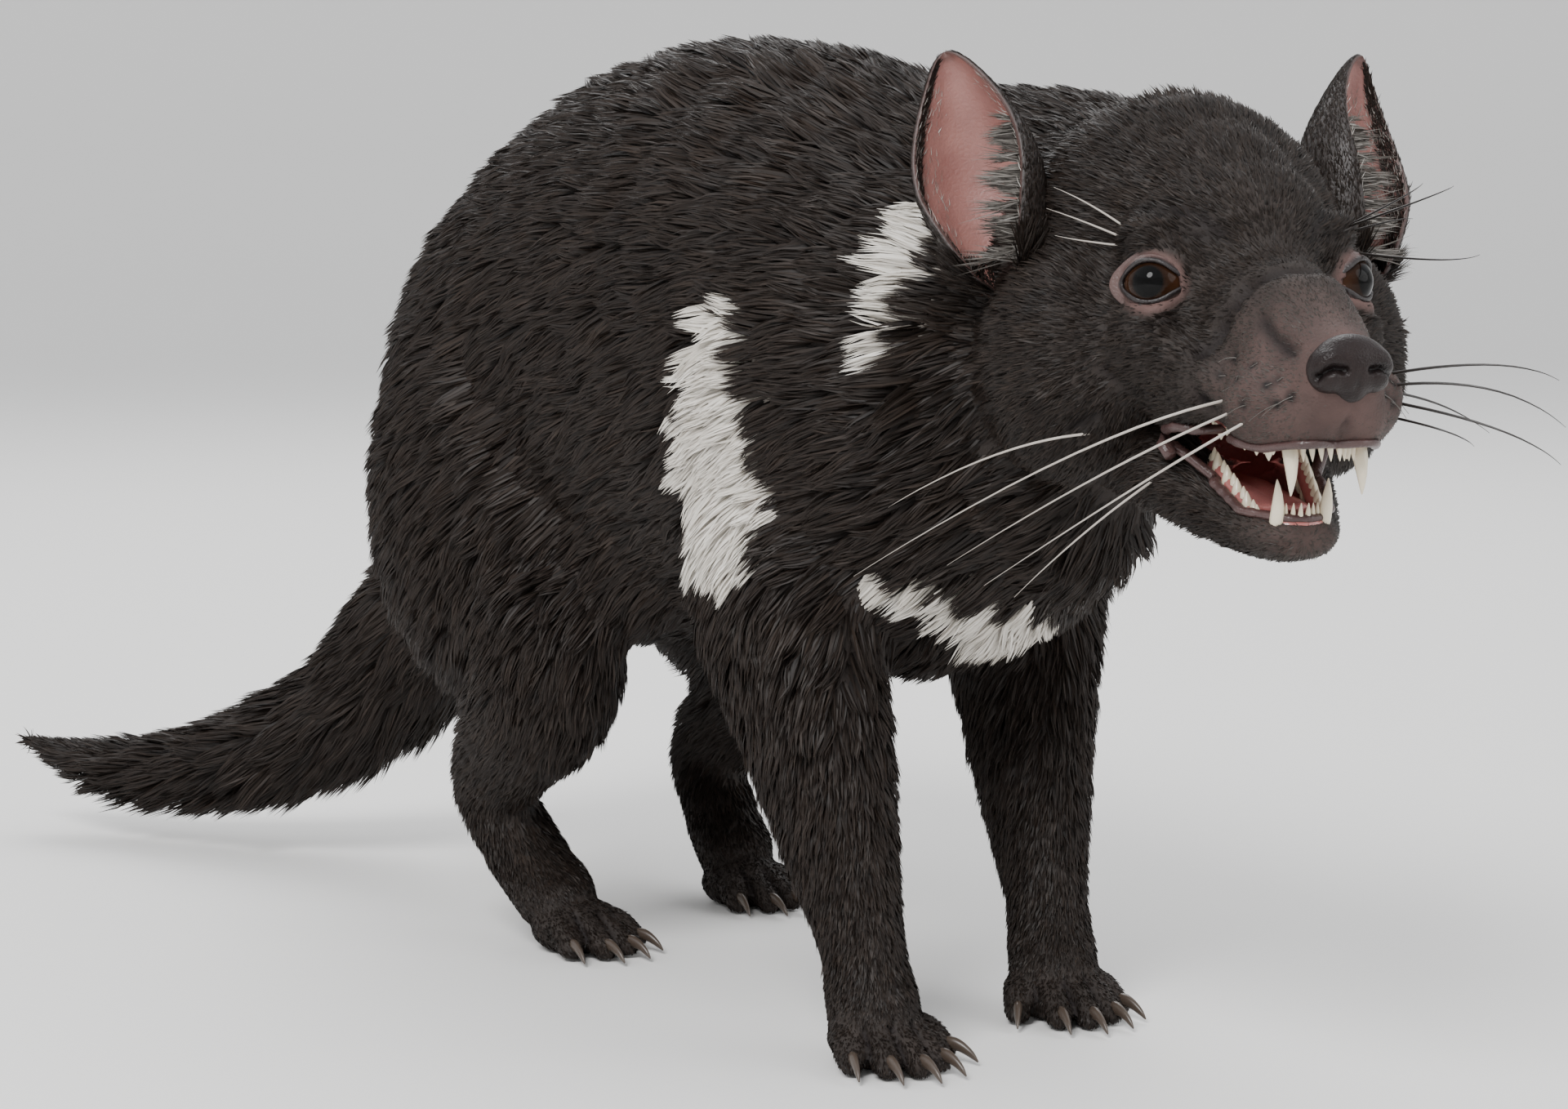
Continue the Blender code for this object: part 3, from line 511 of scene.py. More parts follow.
def near_mass(points, rows, steps=3):
    """For each point, how far it lies outside a mass and which way the mass runs there."""
    rows = np.array(smooth_rows(rows, steps))
    best = np.full(len(points), 1e9)
    run = np.zeros((len(points), 3))
    for start, end in zip(rows, rows[1:]):
        step = end[:3] - start[:3]
        share = np.clip(((points - start[:3]) @ step) / (step @ step), 0, 1)
        girth = (start[3] + start[4]) / 2 + share * (end[3] + end[4] - start[3] - start[4]) / 2
        out = np.linalg.norm(points - start[:3] - share[:, None] * step, axis=1) - girth
        nearer = out < best
        best = np.where(nearer, out, best)
        run[nearer] = unit(step)
    return best, run


# Where the coat breaks into tufts: over the shoulders, down the flank, round the haunch, under the
# belly, on the forelegs and on the tail's root, in metres, all on the right of the body's middle
# and mirrored
BODY_MIDDLE = (0, 0.0045, 0)
BODY_BREAKS = (
    ((0.081, -0.028, 0.308), (0.060, -0.037, 0.303), (0.057, -0.054, 0.283),
     (0.047, -0.064, 0.263)),
    ((0.114, -0.026, 0.304), (0.100, -0.042, 0.296), (0.098, -0.053, 0.284),
     (0.085, -0.063, 0.268)),
    ((0.139, -0.026, 0.298), (0.137, -0.043, 0.287), (0.134, -0.052, 0.278),
     (0.130, -0.061, 0.264)),
    ((-0.032, -0.059, 0.258), (-0.042, -0.060, 0.250), (-0.038, -0.064, 0.240)),
    ((-0.042, -0.066, 0.222), (-0.031, -0.071, 0.197), (-0.015, -0.070, 0.181),
     (0.000, -0.064, 0.164), (0.010, -0.057, 0.158)),
    ((-0.023, -0.074, 0.166), (-0.018, -0.072, 0.151), (-0.007, -0.069, 0.142)),
    ((0.064, -0.072, 0.199), (0.049, -0.068, 0.182), (0.037, -0.057, 0.156)),
    ((0.157, -0.072, 0.144), (0.153, -0.075, 0.128), (0.158, -0.072, 0.114),
     (0.153, -0.073, 0.102)),
    ((-0.254, -0.050, 0.056), (-0.245, -0.050, 0.045), (-0.226, -0.050, 0.040)),
)
# On the head, in millimetres: the ruff's ragged edge, two rows on the cheek, three on the brow
# and the crown's
FACE_BREAKS = (
    ((-71, 63, -12), (-75, 73, -20), (-74, 70, -31), (-68, 68, -41), (-72, 61, -56),
     (-77, 52, -67)),
    ((-53, 65, -22), (-25, 57, -15)),
    ((-60, 60, -31), (-20, 53, -30)),
    ((-23, 31, 21), (-15, 23, 26)),
    ((-8, 24, 22), (3, 19, 17)),
    ((-52, -6, 57), (-46, 6, 57), (-44, 14, 55)),
)
# The roots of the bristles on each whisker pad, in millimetres
PAD_DOTS = ((30, 19, -24), (28, 22, -29), (40, 21, -31), (42, 18, -27), (45, 22, -37),
            (50, 18, -32), (53, 17, -37), (56, 14, -35), (51, 15, -31))
FOOT_HAIR = 0.0018


def coat_fields(places, ways):
    """What grows where: the lie of the coat, its length and lift, where it is white, bare or
    tufted, and which part of the animal it is on. Lengths are in metres."""
    spots = move(places, body_place.inverted())
    face = move(places, head_place.inverted())
    ahead, across, up = face.T
    flank = 1 - np.abs(ways[:, 2])
    below = np.clip(-ways[:, 2], 0, 1)

    # Each mass pulls the lie of the coat its own way, most where the surface is its own: its gap
    # from the surface, the lie that it asks for, the length of its hair and the lift.
    parts = []
    gap, run = near_mass(spots, TRUNK)
    parts.append((gap, -run + [0, 0, -0.5] * flank[:, None], 0.018 - 0.003 * below, 0.25))
    gap, run = near_mass(spots, NECK)
    parts.append((gap, -run + [0, 0, -0.4] * flank[:, None], np.full(len(gap), 0.013), 0.22))
    gap, run = near_mass(spots, TAIL)
    tip = 1 - 0.62 * ramp(-spots[:, 0], 0.335, 0.395)
    parts.append((gap, run + [0, 0, -0.35] * below[:, None], (0.019 + 0.011 * below) * tip, 0.33))
    for name, _ in SIDES:
        for rows, back, top in ((FORELEG[name], -0.30, 0.13), (SHIN[name], -0.25, 0.10)):
            gap, run = near_mass(spots, rows)
            hair = 0.005 + 0.008 * ramp(spots[:, 2], 0.03, top)
            parts.append((gap, run + [back, 0, 0], hair, 0.26))
        out = (spots - np.array(THIGH[name])) / np.array(THIGH_RADII)
        gap = np.linalg.norm(out, axis=1) * 0.055 - 0.055
        down = np.tile([-0.55, 0, -0.85], (len(gap), 1))
        parts.append((gap, down, np.full(len(gap), 0.016), 0.30))
    pulls = [np.exp(-np.maximum(part[0], -0.01) / 0.008) for part in parts]
    total = sum(pulls)
    lie = sum(pull[:, None] * part[1] for pull, part in zip(pulls, parts)) / total[:, None]
    length = sum(pull * part[2] for pull, part in zip(pulls, parts)) / total
    lift = sum(pull * part[3] for pull, part in zip(pulls, parts)) / total
    tail = pulls[2] / total

    # On the head the coat runs back from the nose, parts round the eyes and fans over the cheeks.
    centre, radii = HEAD_END
    inside = np.linalg.norm((face - np.array(centre)) / np.array(radii), axis=1)
    on_head = 1 - ramp(inside, 0.92, 1.12)
    back = np.tile([-1.0, 0.0, 0.05], (len(face), 1))
    back[:, 1] += np.sign(across) * 0.25 * ramp(np.abs(across), 8, 40)
    back[:, 2] -= 0.55 * ramp(-up, 0, 50) * ramp(-ahead, -30, 30)
    for _, way in SIDES:
        eye = np.array([EYE_PLACE[0], way * EYE_PLACE[1], EYE_PLACE[2]])
        away = face - eye
        pull = 1.3 * np.exp(-(np.linalg.norm(away, axis=1) / 15) ** 2)
        back += pull[:, None] * unit(away)
    turn = np.array(head_turn.to_3x3())
    head_length = 0.001 * (
        1.8 + 2.9 * ramp(-ahead, -36, 2) + 3.2 * ramp(-ahead, 10, 50)
        + 8 * ramp(-ahead, 36, 64) * ramp(-up, -12, 12)
        + 3 * ramp(-up, 60, 72) * ramp(-ahead, -30, 0)
    )
    ruff = ramp(-ahead, 38, 66) * ramp(-up, -12, 12) * ramp(np.abs(across), 20, 40)
    lie = lie * (1 - on_head)[:, None] + (back @ turn.T) * on_head[:, None]
    length = length * (1 - on_head) + head_length * on_head
    lift = lift * (1 - on_head) + (0.10 + 0.10 * ramp(-ahead, -32, 0) + 0.20 * ruff) * on_head

    # Feet: short, down to almost nothing at the toes' ends
    foot = 1 - ramp(places[:, 2], 0.016, 0.034)
    foot[places[:, 0] < -0.14] = 0  # the tail
    length = length * (1 - foot) + FOOT_HAIR * foot

    # Rows where the coat breaks: the tufts at a row stand up, and what grows under their tips is
    # shorter. Further on, the hair under their tips is painted darker as painted shadow, and the tufts
    # at a row are painted paler, partly browner tips and partly painted highlight.
    rows = []
    for spot in (places, places - unit(lie) * (0.85 * length)[:, None]):
        on_body = folded(spot - BODY_MIDDLE, -1)
        on_face = folded(move(spot, head_place.inverted()), 1)
        row = [np.exp(-(line_distance(on_body, line) / 0.0050) ** 2) for line in BODY_BREAKS]
        row += [np.exp(-(line_distance(on_face, line) / (2.6 if number else 4)) ** 2)
                for number, line in enumerate(FACE_BREAKS)]
        rows.append(np.max(row, axis=0))
    tufted, under = rows[0], rows[1] * (1 - rows[0])
    length = length * (1 + 0.45 * tufted - 0.30 * under)
    lift = lift + 0.28 * tufted - 0.08 * under

    # White: a ragged band across the chest, a blaze behind each shoulder, a leaf behind each ear.
    # The hair carries it back and down, so its roots lie ahead of it and above.
    x, y, z = places.T
    rough = (np.sin(x * 640) * np.sin(y * 520 + 1) + np.sin(z * 760 + x * 300)) * 0.0013
    top = np.interp(y, (-0.050, -0.030, -0.016, 0.006, 0.052), (0.148, 0.148, 0.141, 0.138, 0.135))
    low = np.interp(y, (-0.047, -0.035, -0.018, 0.002, 0.020, 0.054),
                    (0.148, 0.142, 0.129, 0.124, 0.129, 0.136))
    chest = ramp(z - low + rough, -0.0008, 0.0008) * ramp(top - z + rough, -0.0008, 0.0008)
    chest *= ramp(x, 0.150, 0.154) * ramp(ways[:, 0], -0.35, 0.0) * (1 - on_head)
    chest *= (y > -0.050) & (y < 0.056)
    along = x - 0.006 + 0.012 * (spots[:, 1] > 0)
    middle = np.interp(z - 0.006, (0.143, 0.150, 0.175, 0.205, 0.225, 0.240),
                       (0.127, 0.118, 0.115, 0.117, 0.121, 0.128))
    half = np.interp(z - 0.006, (0.141, 0.150, 0.175, 0.205, 0.225, 0.241),
                     (-0.004, 0.018, 0.026, 0.017, 0.010, -0.004))
    blaze = 1 - ramp(np.abs(along - middle) + rough, half - 0.001, half + 0.001)
    blaze *= ramp(np.abs(spots[:, 1]), 0.030, 0.040) * ((z > 0.146) & (z < 0.248))
    leaf_x = np.where(spots[:, 1] > 0, 0.179, 0.193)
    leaf = np.sqrt(((x - leaf_x) / 0.0062) ** 2 + ((z - 0.244) / 0.024) ** 2) + rough * 60
    leaf = (1 - ramp(leaf, 0.92, 1.06)) * (np.abs(spots[:, 1]) > 0.03) * (1 - on_head)
    leaf *= z > 0.214 + 0.8 * (x - leaf_x + 0.006)
    white = np.clip(chest + blaze + leaf, 0, 1)

    # Bare skin: round the eyes and at the nose. The lips and the mouth have no coat at all.
    bare = np.zeros(len(places))
    for _, way in SIDES:
        local = move(face, eye_frame(way).inverted())
        ring = np.sqrt((local[:, 1] / 10.8) ** 2 + (local[:, 2] / 9.2) ** 2)
        bare = np.maximum(bare, (1 - ramp(ring, 0.80, 1.10)) * (local[:, 0] > 0))
    bare = np.maximum(bare, 0.8 * ramp(ahead, 54, 63))
    dots = np.max([bump(folded(face, 1), dot, 2.0) for dot in PAD_DOTS], axis=0)
    return {"lie": lie, "length": length, "lift": lift, "white": white, "bare": bare,
            "on_head": on_head, "tail": tail, "face": face, "foot": foot, "tufted": tufted,
            "under": under, "dots": dots}


places, ways = corner_places(hide.data)
fields = coat_fields(places, ways)
face = fields["face"]
ahead, across, up = face.T

# How deep each corner of the head lies inside the closed head says what is lip and what is mouth.
deep = np.zeros(len(places))
for number in np.nonzero((ahead > -45) & (np.abs(across) < 48) & (up < 18)
                         & (fields["on_head"] > 0.5))[0]:
    deep[number] = closed_head.find_nearest(Vector(places[number]))[3] * 1000
in_mouth = (deep > 1.6) & (up < -22)
lip = ramp(deep, 0.15, 0.9) * (up < -30) * (ahead > -16)

# Folds of the face as lines in millimetres, with their width and depth: behind the whiskers' pad,
# over the bridge of the nose, under and over each eye, along the brow and at the mouth's corner
FOLDS = (
    (((25, 14, -3), (21, 19, -12), (19, 24, -22), (20, 27, -31), (24, 26, -38)), 2.8, 4.2),
    (((25, 14, -3), (31, 8, 0), (33, 0, 1)), 2.6, 3.0),
    (((39, 15, -14), (46, 15, -19), (53, 13, -23)), 2.1, 1.7),
    (((14, 21, -2), (11, 26, -10), (2, 34, -15), (-10, 40, -14)), 2.2, 1.4),
    (((-18, 40, -16), (-6, 40, -22), (6, 33, -24)), 2.0, 1.1),
    (((8, 18, 10), (0, 27, 11), (-10, 34, 9), (-18, 38, 3)), 2.0, 1.5),
    (((11, 14, 10), (4, 20, 17), (-8, 27, 21)), 2.4, 1.8),
    (((-3, 33, -35), (-12, 42, -40), (-22, 47, -42)), 2.6, 2.4),
    (((-8, 37, -33), (-10, 43, -27)), 2.0, 1.6),
    (((63, 0, -36), (60, 0, -44), (56, 0, -50)), 1.3, 1.3),
)
# Where the face swells between them, with the swelling's reach and height: the whiskers' pad, the
# bridge of the nose, the brow, under the eye and the muzzle's tip
SWELLS = (
    ((42, 20, -33), (15, 10, 12), 3.2),
    ((38, 6, -4), (10, 9, 8), 1.5),
    ((-6, 27, 15), (12, 9, 5), 1.2),
    ((-4, 36, -15), (9, 7, 4), 0.7),
    ((52, 0, -18), (8, 6, 5), 0.5),
)
CLEFT_DEPTH = 0.0024  # between two toes, in metres
sink = np.zeros(len(places))
groove = np.zeros(len(places))
mirrored = folded(face, 1)
for line, width, depth in FOLDS:
    cut = np.exp(-(line_distance(mirrored, line) / width) ** 2)
    sink += depth * cut
    groove = np.maximum(groove, cut * min(depth / 2, 1))
groove *= fields["on_head"]
for centre, radius, rise in SWELLS:
    sink -= rise * bump(mirrored, centre, radius)
sink += 0.5 * fields["dots"]
sink *= 0.001 * fields["on_head"] * (deep < 3)
for end, side in PAWS:
    spots = move(places, paw_place(end, side).inverted())
    lines = [[station[:3] for station in toe_line(*toe, ((0.1, 0, 0), (1, 0, 0)))]
             for toe in toes(end, side)]
    gaps = np.sort([line_distance(spots * [1, 1, 0], line) for line in lines], axis=0)
    cleft = np.exp(-((gaps[1] - gaps[0]) / 1.5) ** 2) * ramp(spots[:, 0], -2, 5)
    cleft *= (gaps[0] < 9) & (spots[:, 2] < 16)
    sink += CLEFT_DEPTH * cleft
    groove = np.maximum(groove, cleft)
coated = (1 - in_mouth) * (1 - fields["bare"]) * (1 - 0.75 * fields["foot"])
sink += 0.30 * fields["length"] * coated
places = places - ways * sink[:, None]
places[:, 2] = np.maximum(places[:, 2], 0.0002)
hide.data.vertices.foreach_set("co", places.ravel())
hide.data.update()
places, ways = corner_places(hide.data)


def keep_field(mesh, name, values):
    """Stores one number for each corner of a mesh, for its material to read."""
    field = mesh.attributes.new(name, "FLOAT", "POINT")
    field.data.foreach_set("value", np.asarray(values, np.float32))


muzzle_bare = ramp(ahead, 16, 46) * 0.55 * ramp(-up, -4, 22) * (1 - 0.6 * groove)
for name, values in (
    ("white", fields["white"]),
    ("bare", np.clip(np.maximum(fields["bare"], muzzle_bare), 0, 1)),
    ("dots", np.clip(1.4 * fields["dots"], 0, 1)),
    ("groove", groove),
    ("lip", lip),
    ("mouth", in_mouth),
):
    keep_field(hide.data, name, values)


def field(tree, name):
    """A number that a mesh keeps for each of its corners, in a material."""
    reader = tree.nodes.new("ShaderNodeAttribute")
    reader.attribute_name = name
    return reader.outputs["Fac"]


def noise(tree, scale, detail=2, distortion=0):
    cloud = tree.nodes.new("ShaderNodeTexNoise")
    for socket, value in (("Scale", scale), ("Detail", detail), ("Distortion", distortion)):
        cloud.inputs[socket].default_value = value
    return cloud


def mixed(tree, share, first, second):
    """A colour between two. Each is a socket or three numbers, and share a socket or a number."""
    mix = tree.nodes.new("ShaderNodeMix")
    mix.data_type = "RGBA"
    for socket, value in ((mix.inputs["Factor"], share), (mix.inputs[6], first),
                          (mix.inputs[7], second)):
        if isinstance(value, tuple):
            socket.default_value = (*value, 1)
        elif isinstance(value, float):
            socket.default_value = value
        else:
            tree.links.new(value, socket)
    return mix.outputs[2]


def layered(tree, colour, *layers):
    """Feeds a material's colour. Each layer is a field's name and the colour that lies over the
    others where the field is 1."""
    for name, over in layers:
        colour = mixed(tree, field(tree, name), colour, over)
    tree.links.new(colour, tree.nodes["Principled BSDF"].inputs["Base Color"])


# Living skin is mottled and finely creased: this puts out a mask of darker blotches and a height
# of creases and pores for any skin, at a size that each material gives.
creases = bpy.data.node_groups.new("skin creases", "ShaderNodeTree")
creases.interface.new_socket("Size", in_out="INPUT", socket_type="NodeSocketFloat")
creases.interface.new_socket("Blotch", in_out="OUTPUT", socket_type="NodeSocketFloat")
creases.interface.new_socket("Height", in_out="OUTPUT", socket_type="NodeSocketFloat")
group_in = creases.nodes.new("NodeGroupInput")
group_out = creases.nodes.new("NodeGroupOutput")
where = creases.nodes.new("ShaderNodeTexCoord")
cells = creases.nodes.new("ShaderNodeTexVoronoi")
cells.feature = "DISTANCE_TO_EDGE"
creases.links.new(group_in.outputs["Size"], cells.inputs["Scale"])
blotches = noise(creases, 90, detail=5)
pores = noise(creases, 1600)
for texture in (cells, blotches, pores):
    creases.links.new(where.outputs["Object"], texture.inputs["Vector"])
total = creases.nodes.new("ShaderNodeMath")
total.operation = "MULTIPLY_ADD"
total.inputs[1].default_value = 0.5
creases.links.new(pores.outputs["Fac"], total.inputs[0])
creases.links.new(cells.outputs["Distance"], total.inputs[2])
creases.links.new(blotches.outputs["Fac"], group_out.inputs["Blotch"])
creases.links.new(total.outputs["Value"], group_out.inputs["Height"])


def crease(tree, size, strength, dark, light, depth=0.0005):
    """Places the creases in a material, feeds its bump and gives back its blotched colour. The
    blotches come back too, for other colours."""
    grain = tree.nodes.new("ShaderNodeGroup")
    grain.node_tree = creases
    grain.inputs["Size"].default_value = size
    relief = tree.nodes.new("ShaderNodeBump")
    relief.inputs["Strength"].default_value = strength
    relief.inputs["Distance"].default_value = depth
    tree.links.new(grain.outputs["Height"], relief.inputs["Height"])
    tree.links.new(relief.outputs["Normal"], tree.nodes["Principled BSDF"].inputs["Normal"])
    return mixed(tree, grain.outputs["Blotch"], dark, light), grain.outputs["Blotch"]


hide_paint, tree = paint("hide", Specular_IOR_Level=0.22)
covered, blotch = crease(tree, 700, 0.35, (0.012, 0.010, 0.009), (0.035, 0.026, 0.022), 0.0006)
layered(tree, covered,
        ("white", (0.50, 0.45, 0.40)),
        ("bare", mixed(tree, blotch, (0.036, 0.022, 0.020), (0.150, 0.088, 0.078))),
        # painted shade: the folds of the face and the clefts between the toes are painted near black
        ("groove", (0.009, 0.006, 0.006)),
        ("dots", (0.005, 0.004, 0.004)),
        ("lip", (0.040, 0.021, 0.020)),
        ("mouth", mixed(tree, blotch, (0.22, 0.055, 0.050), (0.42, 0.14, 0.13))))
damp = tree.nodes.new("ShaderNodeMapRange")
damp.inputs["To Min"].default_value = 0.68
damp.inputs["To Max"].default_value = 0.24
tree.links.new(field(tree, "mouth"), damp.inputs["Value"])
tree.links.new(damp.outputs["Result"], tree.nodes["Principled BSDF"].inputs["Roughness"])
hide.data.materials.append(hide_paint)
hide.data.shade_smooth()
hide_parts("head", "jaw", "neck", "torso", "tail_base", "tail_middle", "tail_tip",
            *(f"{part}_{side}" for side, _ in SIDES
              for part in ("upper_arm", "forearm", "forepaw", "thigh", "shin", "hindpaw")))
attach(hide, "root")


# The eyes are dark brown and wet, nearly round, each with a clear front that swells a little over
# the iris. They sit between dark, bare lid rims.
EYE_SWELLING = 0.7


def eye_shape():
    form = bmesh.new()
    levels, around = 36, 48
    rings = []
    for level in range(1, levels):
        a = math.pi * level / levels
        reach = EYE_RADIUS + EYE_SWELLING * math.exp(-(math.degrees(a) / 26) ** 2)
        rings.append([form.verts.new((reach * math.cos(a), reach * math.sin(a) * math.cos(b),
                                      reach * math.sin(a) * math.sin(b)))
                      for b in (2 * math.pi * turn / around for turn in range(around))])
    front = form.verts.new((EYE_RADIUS + EYE_SWELLING, 0, 0))
    rear = form.verts.new((-EYE_RADIUS, 0, 0))
    close_rings(form, rings, front, rear)
    return form


def banded(tree, share, *stops):
    """A colour that changes with share: each stop is a place on it and three numbers."""
    band = tree.nodes.new("ShaderNodeValToRGB")
    made = band.color_ramp.elements
    for end in (0, -1):
        made[end].position = stops[end][0]
        made[end].color = (*stops[end][1], 1)
    for place, colour in stops[1:-1]:
        made.new(place).color = (*colour, 1)
    tree.links.new(share, band.inputs["Fac"])
    return band.outputs["Color"]


eye_paint, tree = paint("eye", Roughness=0.035, Specular_IOR_Level=0.12)
layered(tree, banded(  # from the pupil over the iris to the back of the ball
    tree, field(tree, "gaze"), (0.0, (0.002, 0.002, 0.002)), (0.15, (0.002, 0.002, 0.002)),
    (0.18, (0.014, 0.006, 0.003)), (0.34, (0.036, 0.015, 0.007)), (0.42, (0.004, 0.002, 0.002)),
    (0.55, (0.012, 0.008, 0.007)), (1, (0.030, 0.015, 0.013))))
for side, way in SIDES:
    form = eye_shape()
    gaze = [math.acos(max(-1, min(1, v.co.x / v.co.length))) / math.pi for v in form.verts]
    eye = new_piece(f"eyeball_{side}", form, head_place @ eye_frame(way))
    keep_field(eye.data, "gaze", gaze)
    eye.data.materials.append(eye_paint)
    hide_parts(f"eye_{side}")
    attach(eye, "root")


# The lids are folds of the same bare skin, drawn close over the eye to a dark wet rim, with the
# upper one thicker. Each is an almond ring that runs back into the hide.
LID_PROFILE = (  # how far out from the rim, and how far proud of the eye, in millimetres
    (-0.3, -1.2), (-0.5, 0.3), (0.1, 0.9), (0.9, 1.1), (1.5, 0.45), (2.1, 0.95), (2.8, 0.30),
    (3.5, 0.60), (4.6, -1.5), (3.0, -3.0), (1.0, -2.6),
)
LID_STEPS = 64
lid_paint, tree = paint("lids", Roughness=0.42)
skin_tone, _ = crease(tree, 900, 0.4, (0.032, 0.019, 0.017), (0.125, 0.072, 0.064))
layered(tree, skin_tone, ("rim", (0.012, 0.008, 0.008)))
for side, way in SIDES:
    form = bmesh.new()
    loops, rim = [], []
    for turn in range(LID_STEPS):
        a = 2 * math.pi * turn / LID_STEPS
        point = 1 + 0.28 * abs(math.cos(a)) ** 8
        wide = (EYE_OPENING[0] - 0.4) * point
        high = (EYE_OPENING[1] - 0.4) * (1.0 if math.sin(a) > 0 else 0.92)
        out = Vector((0, math.cos(a) * high, math.sin(a) * wide)).normalized()
        heavy = 1 + 0.5 * max(0, math.sin(a))
        loop = []
        for away, proud in LID_PROFILE:
            spot = Vector((0, wide * math.cos(a), high * math.sin(a))) + out * away
            reach = EYE_RADIUS + proud * heavy
            spot.x = math.sqrt(max(reach ** 2 - min(spot.length, reach * 0.97) ** 2, 1))
            loop.append(form.verts.new(spot))
            rim.append(1.0 if away < 0.95 and proud > -2 else 0.0)
        loops.append(loop)
    for first, second in zip(loops, loops[1:] + loops[:1]):
        for step in range(len(LID_PROFILE)):
            after = (step + 1) % len(LID_PROFILE)
            form.faces.new((first[step], first[after], second[after], second[step]))
    lids = new_piece(f"lids_{side}", form, head_place @ eye_frame(way))
    keep_field(lids.data, "rim", rim)
    finer = lids.modifiers.new("finer", "SUBSURF")
    finer.levels = finer.render_levels = 1
    settle(lids)
    lids.data.materials.append(lid_paint)
    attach(lids, "root")


# The nose is a bare, moist pad of pebbled skin at the muzzle's tip, split below by a groove, with
# a comma of a nostril on each side.
NOSE_PLACE = (63, 0, -27)
NOSTRIL = ((70, 4.2, -28.5), (70, 6.6, -27.6), (68, 9.0, -28.5), (65, 11, -30.5))
NOSE_GROOVE = ((72, 0, -24), (71, 0, -30), (66, 0, -38), (60, 0, -42))
nose = skin_over("nose_pad", [
    head_ball(NOSE_PLACE, (7, 11, 8.5)),
    head_ball((63, -6, -28), (6.5, 6, 6.5)),
    head_ball((63, 6, -28), (6.5, 6, 6.5)),
    head_ball((61, 0, -33), (6.0, 5.5, 4.6)),
], voxel=0.0005, rounds=12)
nose_corners, nose_ways = corner_places(nose.data)
local = folded(move(nose_corners, head_place.inverted()), 1)
hollow = np.zeros(len(local))
for line, width, depth in ((NOSTRIL, 1.25, 3.0), (NOSE_GROOVE, 0.9, 1.3)):
    hollow += depth * np.exp(-(line_distance(local, line) / width) ** 2)
hollow -= 0.7 * bump(local, (68, 7, -24), (4, 4, 2.4))  # the nostril's wing
nose_corners -= nose_ways * hollow[:, None] * 0.001
nose.data.vertices.foreach_set("co", nose_corners.ravel())
nose.data.update()
keep_field(nose.data, "pit", np.clip(hollow / 2.2, 0, 1))
nose_paint, tree = paint("nose", Roughness=0.36, Specular_IOR_Level=0.20)
pebbled, _ = crease(tree, 1150, 0.38, (0.006, 0.004, 0.004), (0.022, 0.014, 0.013))
# The nostrils and the groove below the nose are painted at the darkest tone: painted shade in the
# hollows.
layered(tree, pebbled, ("pit", (0.006, 0.004, 0.004)))
nose.data.shade_smooth()
nose.data.materials.append(nose_paint)
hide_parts("nose")
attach(nose, "root")


# Each ear is a thin upright leaf of skin, rolled at its root, with a raised edge. It is pink and
# almost bare inside, where the veins show, and dark and furred outside.
EAR_ROOT = (-62, 50, 4)
EAR_TIP = (-72, 67, 69)
EAR_HALF_WIDTH = 19.0
EAR_HALF_THICKNESS = 0.75
EAR_BURIED = -0.09  # where the leaf starts under the hide, as a share of its height
EAR_COLUMNS, EAR_LEVELS = 36, 44


def ear_axes(way):
    """An ear's root, its rise, and the ways up it, out of its opening and across it."""
    root = np.array([EAR_ROOT[0], way * EAR_ROOT[1], EAR_ROOT[2]])
    rise = np.array([EAR_TIP[0], way * EAR_TIP[1], EAR_TIP[2]]) - root
    lean = unit(rise)
    facing = np.array([0.80, way * 0.60, 0])
    facing = unit(facing - (facing @ lean) * lean)
    return root, rise, lean, facing, np.cross(lean, facing)


def ear_point(way, u, v, lift):
    """Points on an ear's leaf: u runs across it from -1 to 1, v up it from 0 to 1, and lift is
    how far they stand behind it, in millimetres."""
    u, v, lift = (np.asarray(value, float) for value in np.broadcast_arrays(u, v, lift))
    root, rise, lean, facing, across = ear_axes(way)
    narrow = np.clip((v - 0.40) / 0.60, 0, 1)
    taper = np.sqrt(np.clip(1 - narrow ** 2, 0, 1)) * (1 - 0.22 * narrow)
    radius = np.maximum(EAR_HALF_WIDTH * (0.72 + 0.28 * np.sin(np.pi * v / 1.1)) * taper, 0.9)
    radius = radius * (1 + 4 * np.minimum(v, 0))
    a = np.radians(150 - 78 * v) * u
    fold = 0.9 * np.exp(-((np.abs(u) - 0.55) / 0.10) ** 2) * (1 - v) * (v > 0.02)
    out = radius + lift - fold
    sideways = (out * np.sin(a))[..., None] * across
    return root + v[..., None] * rise + sideways - (out * np.cos(a) - 0.3 * radius)[..., None] * facing


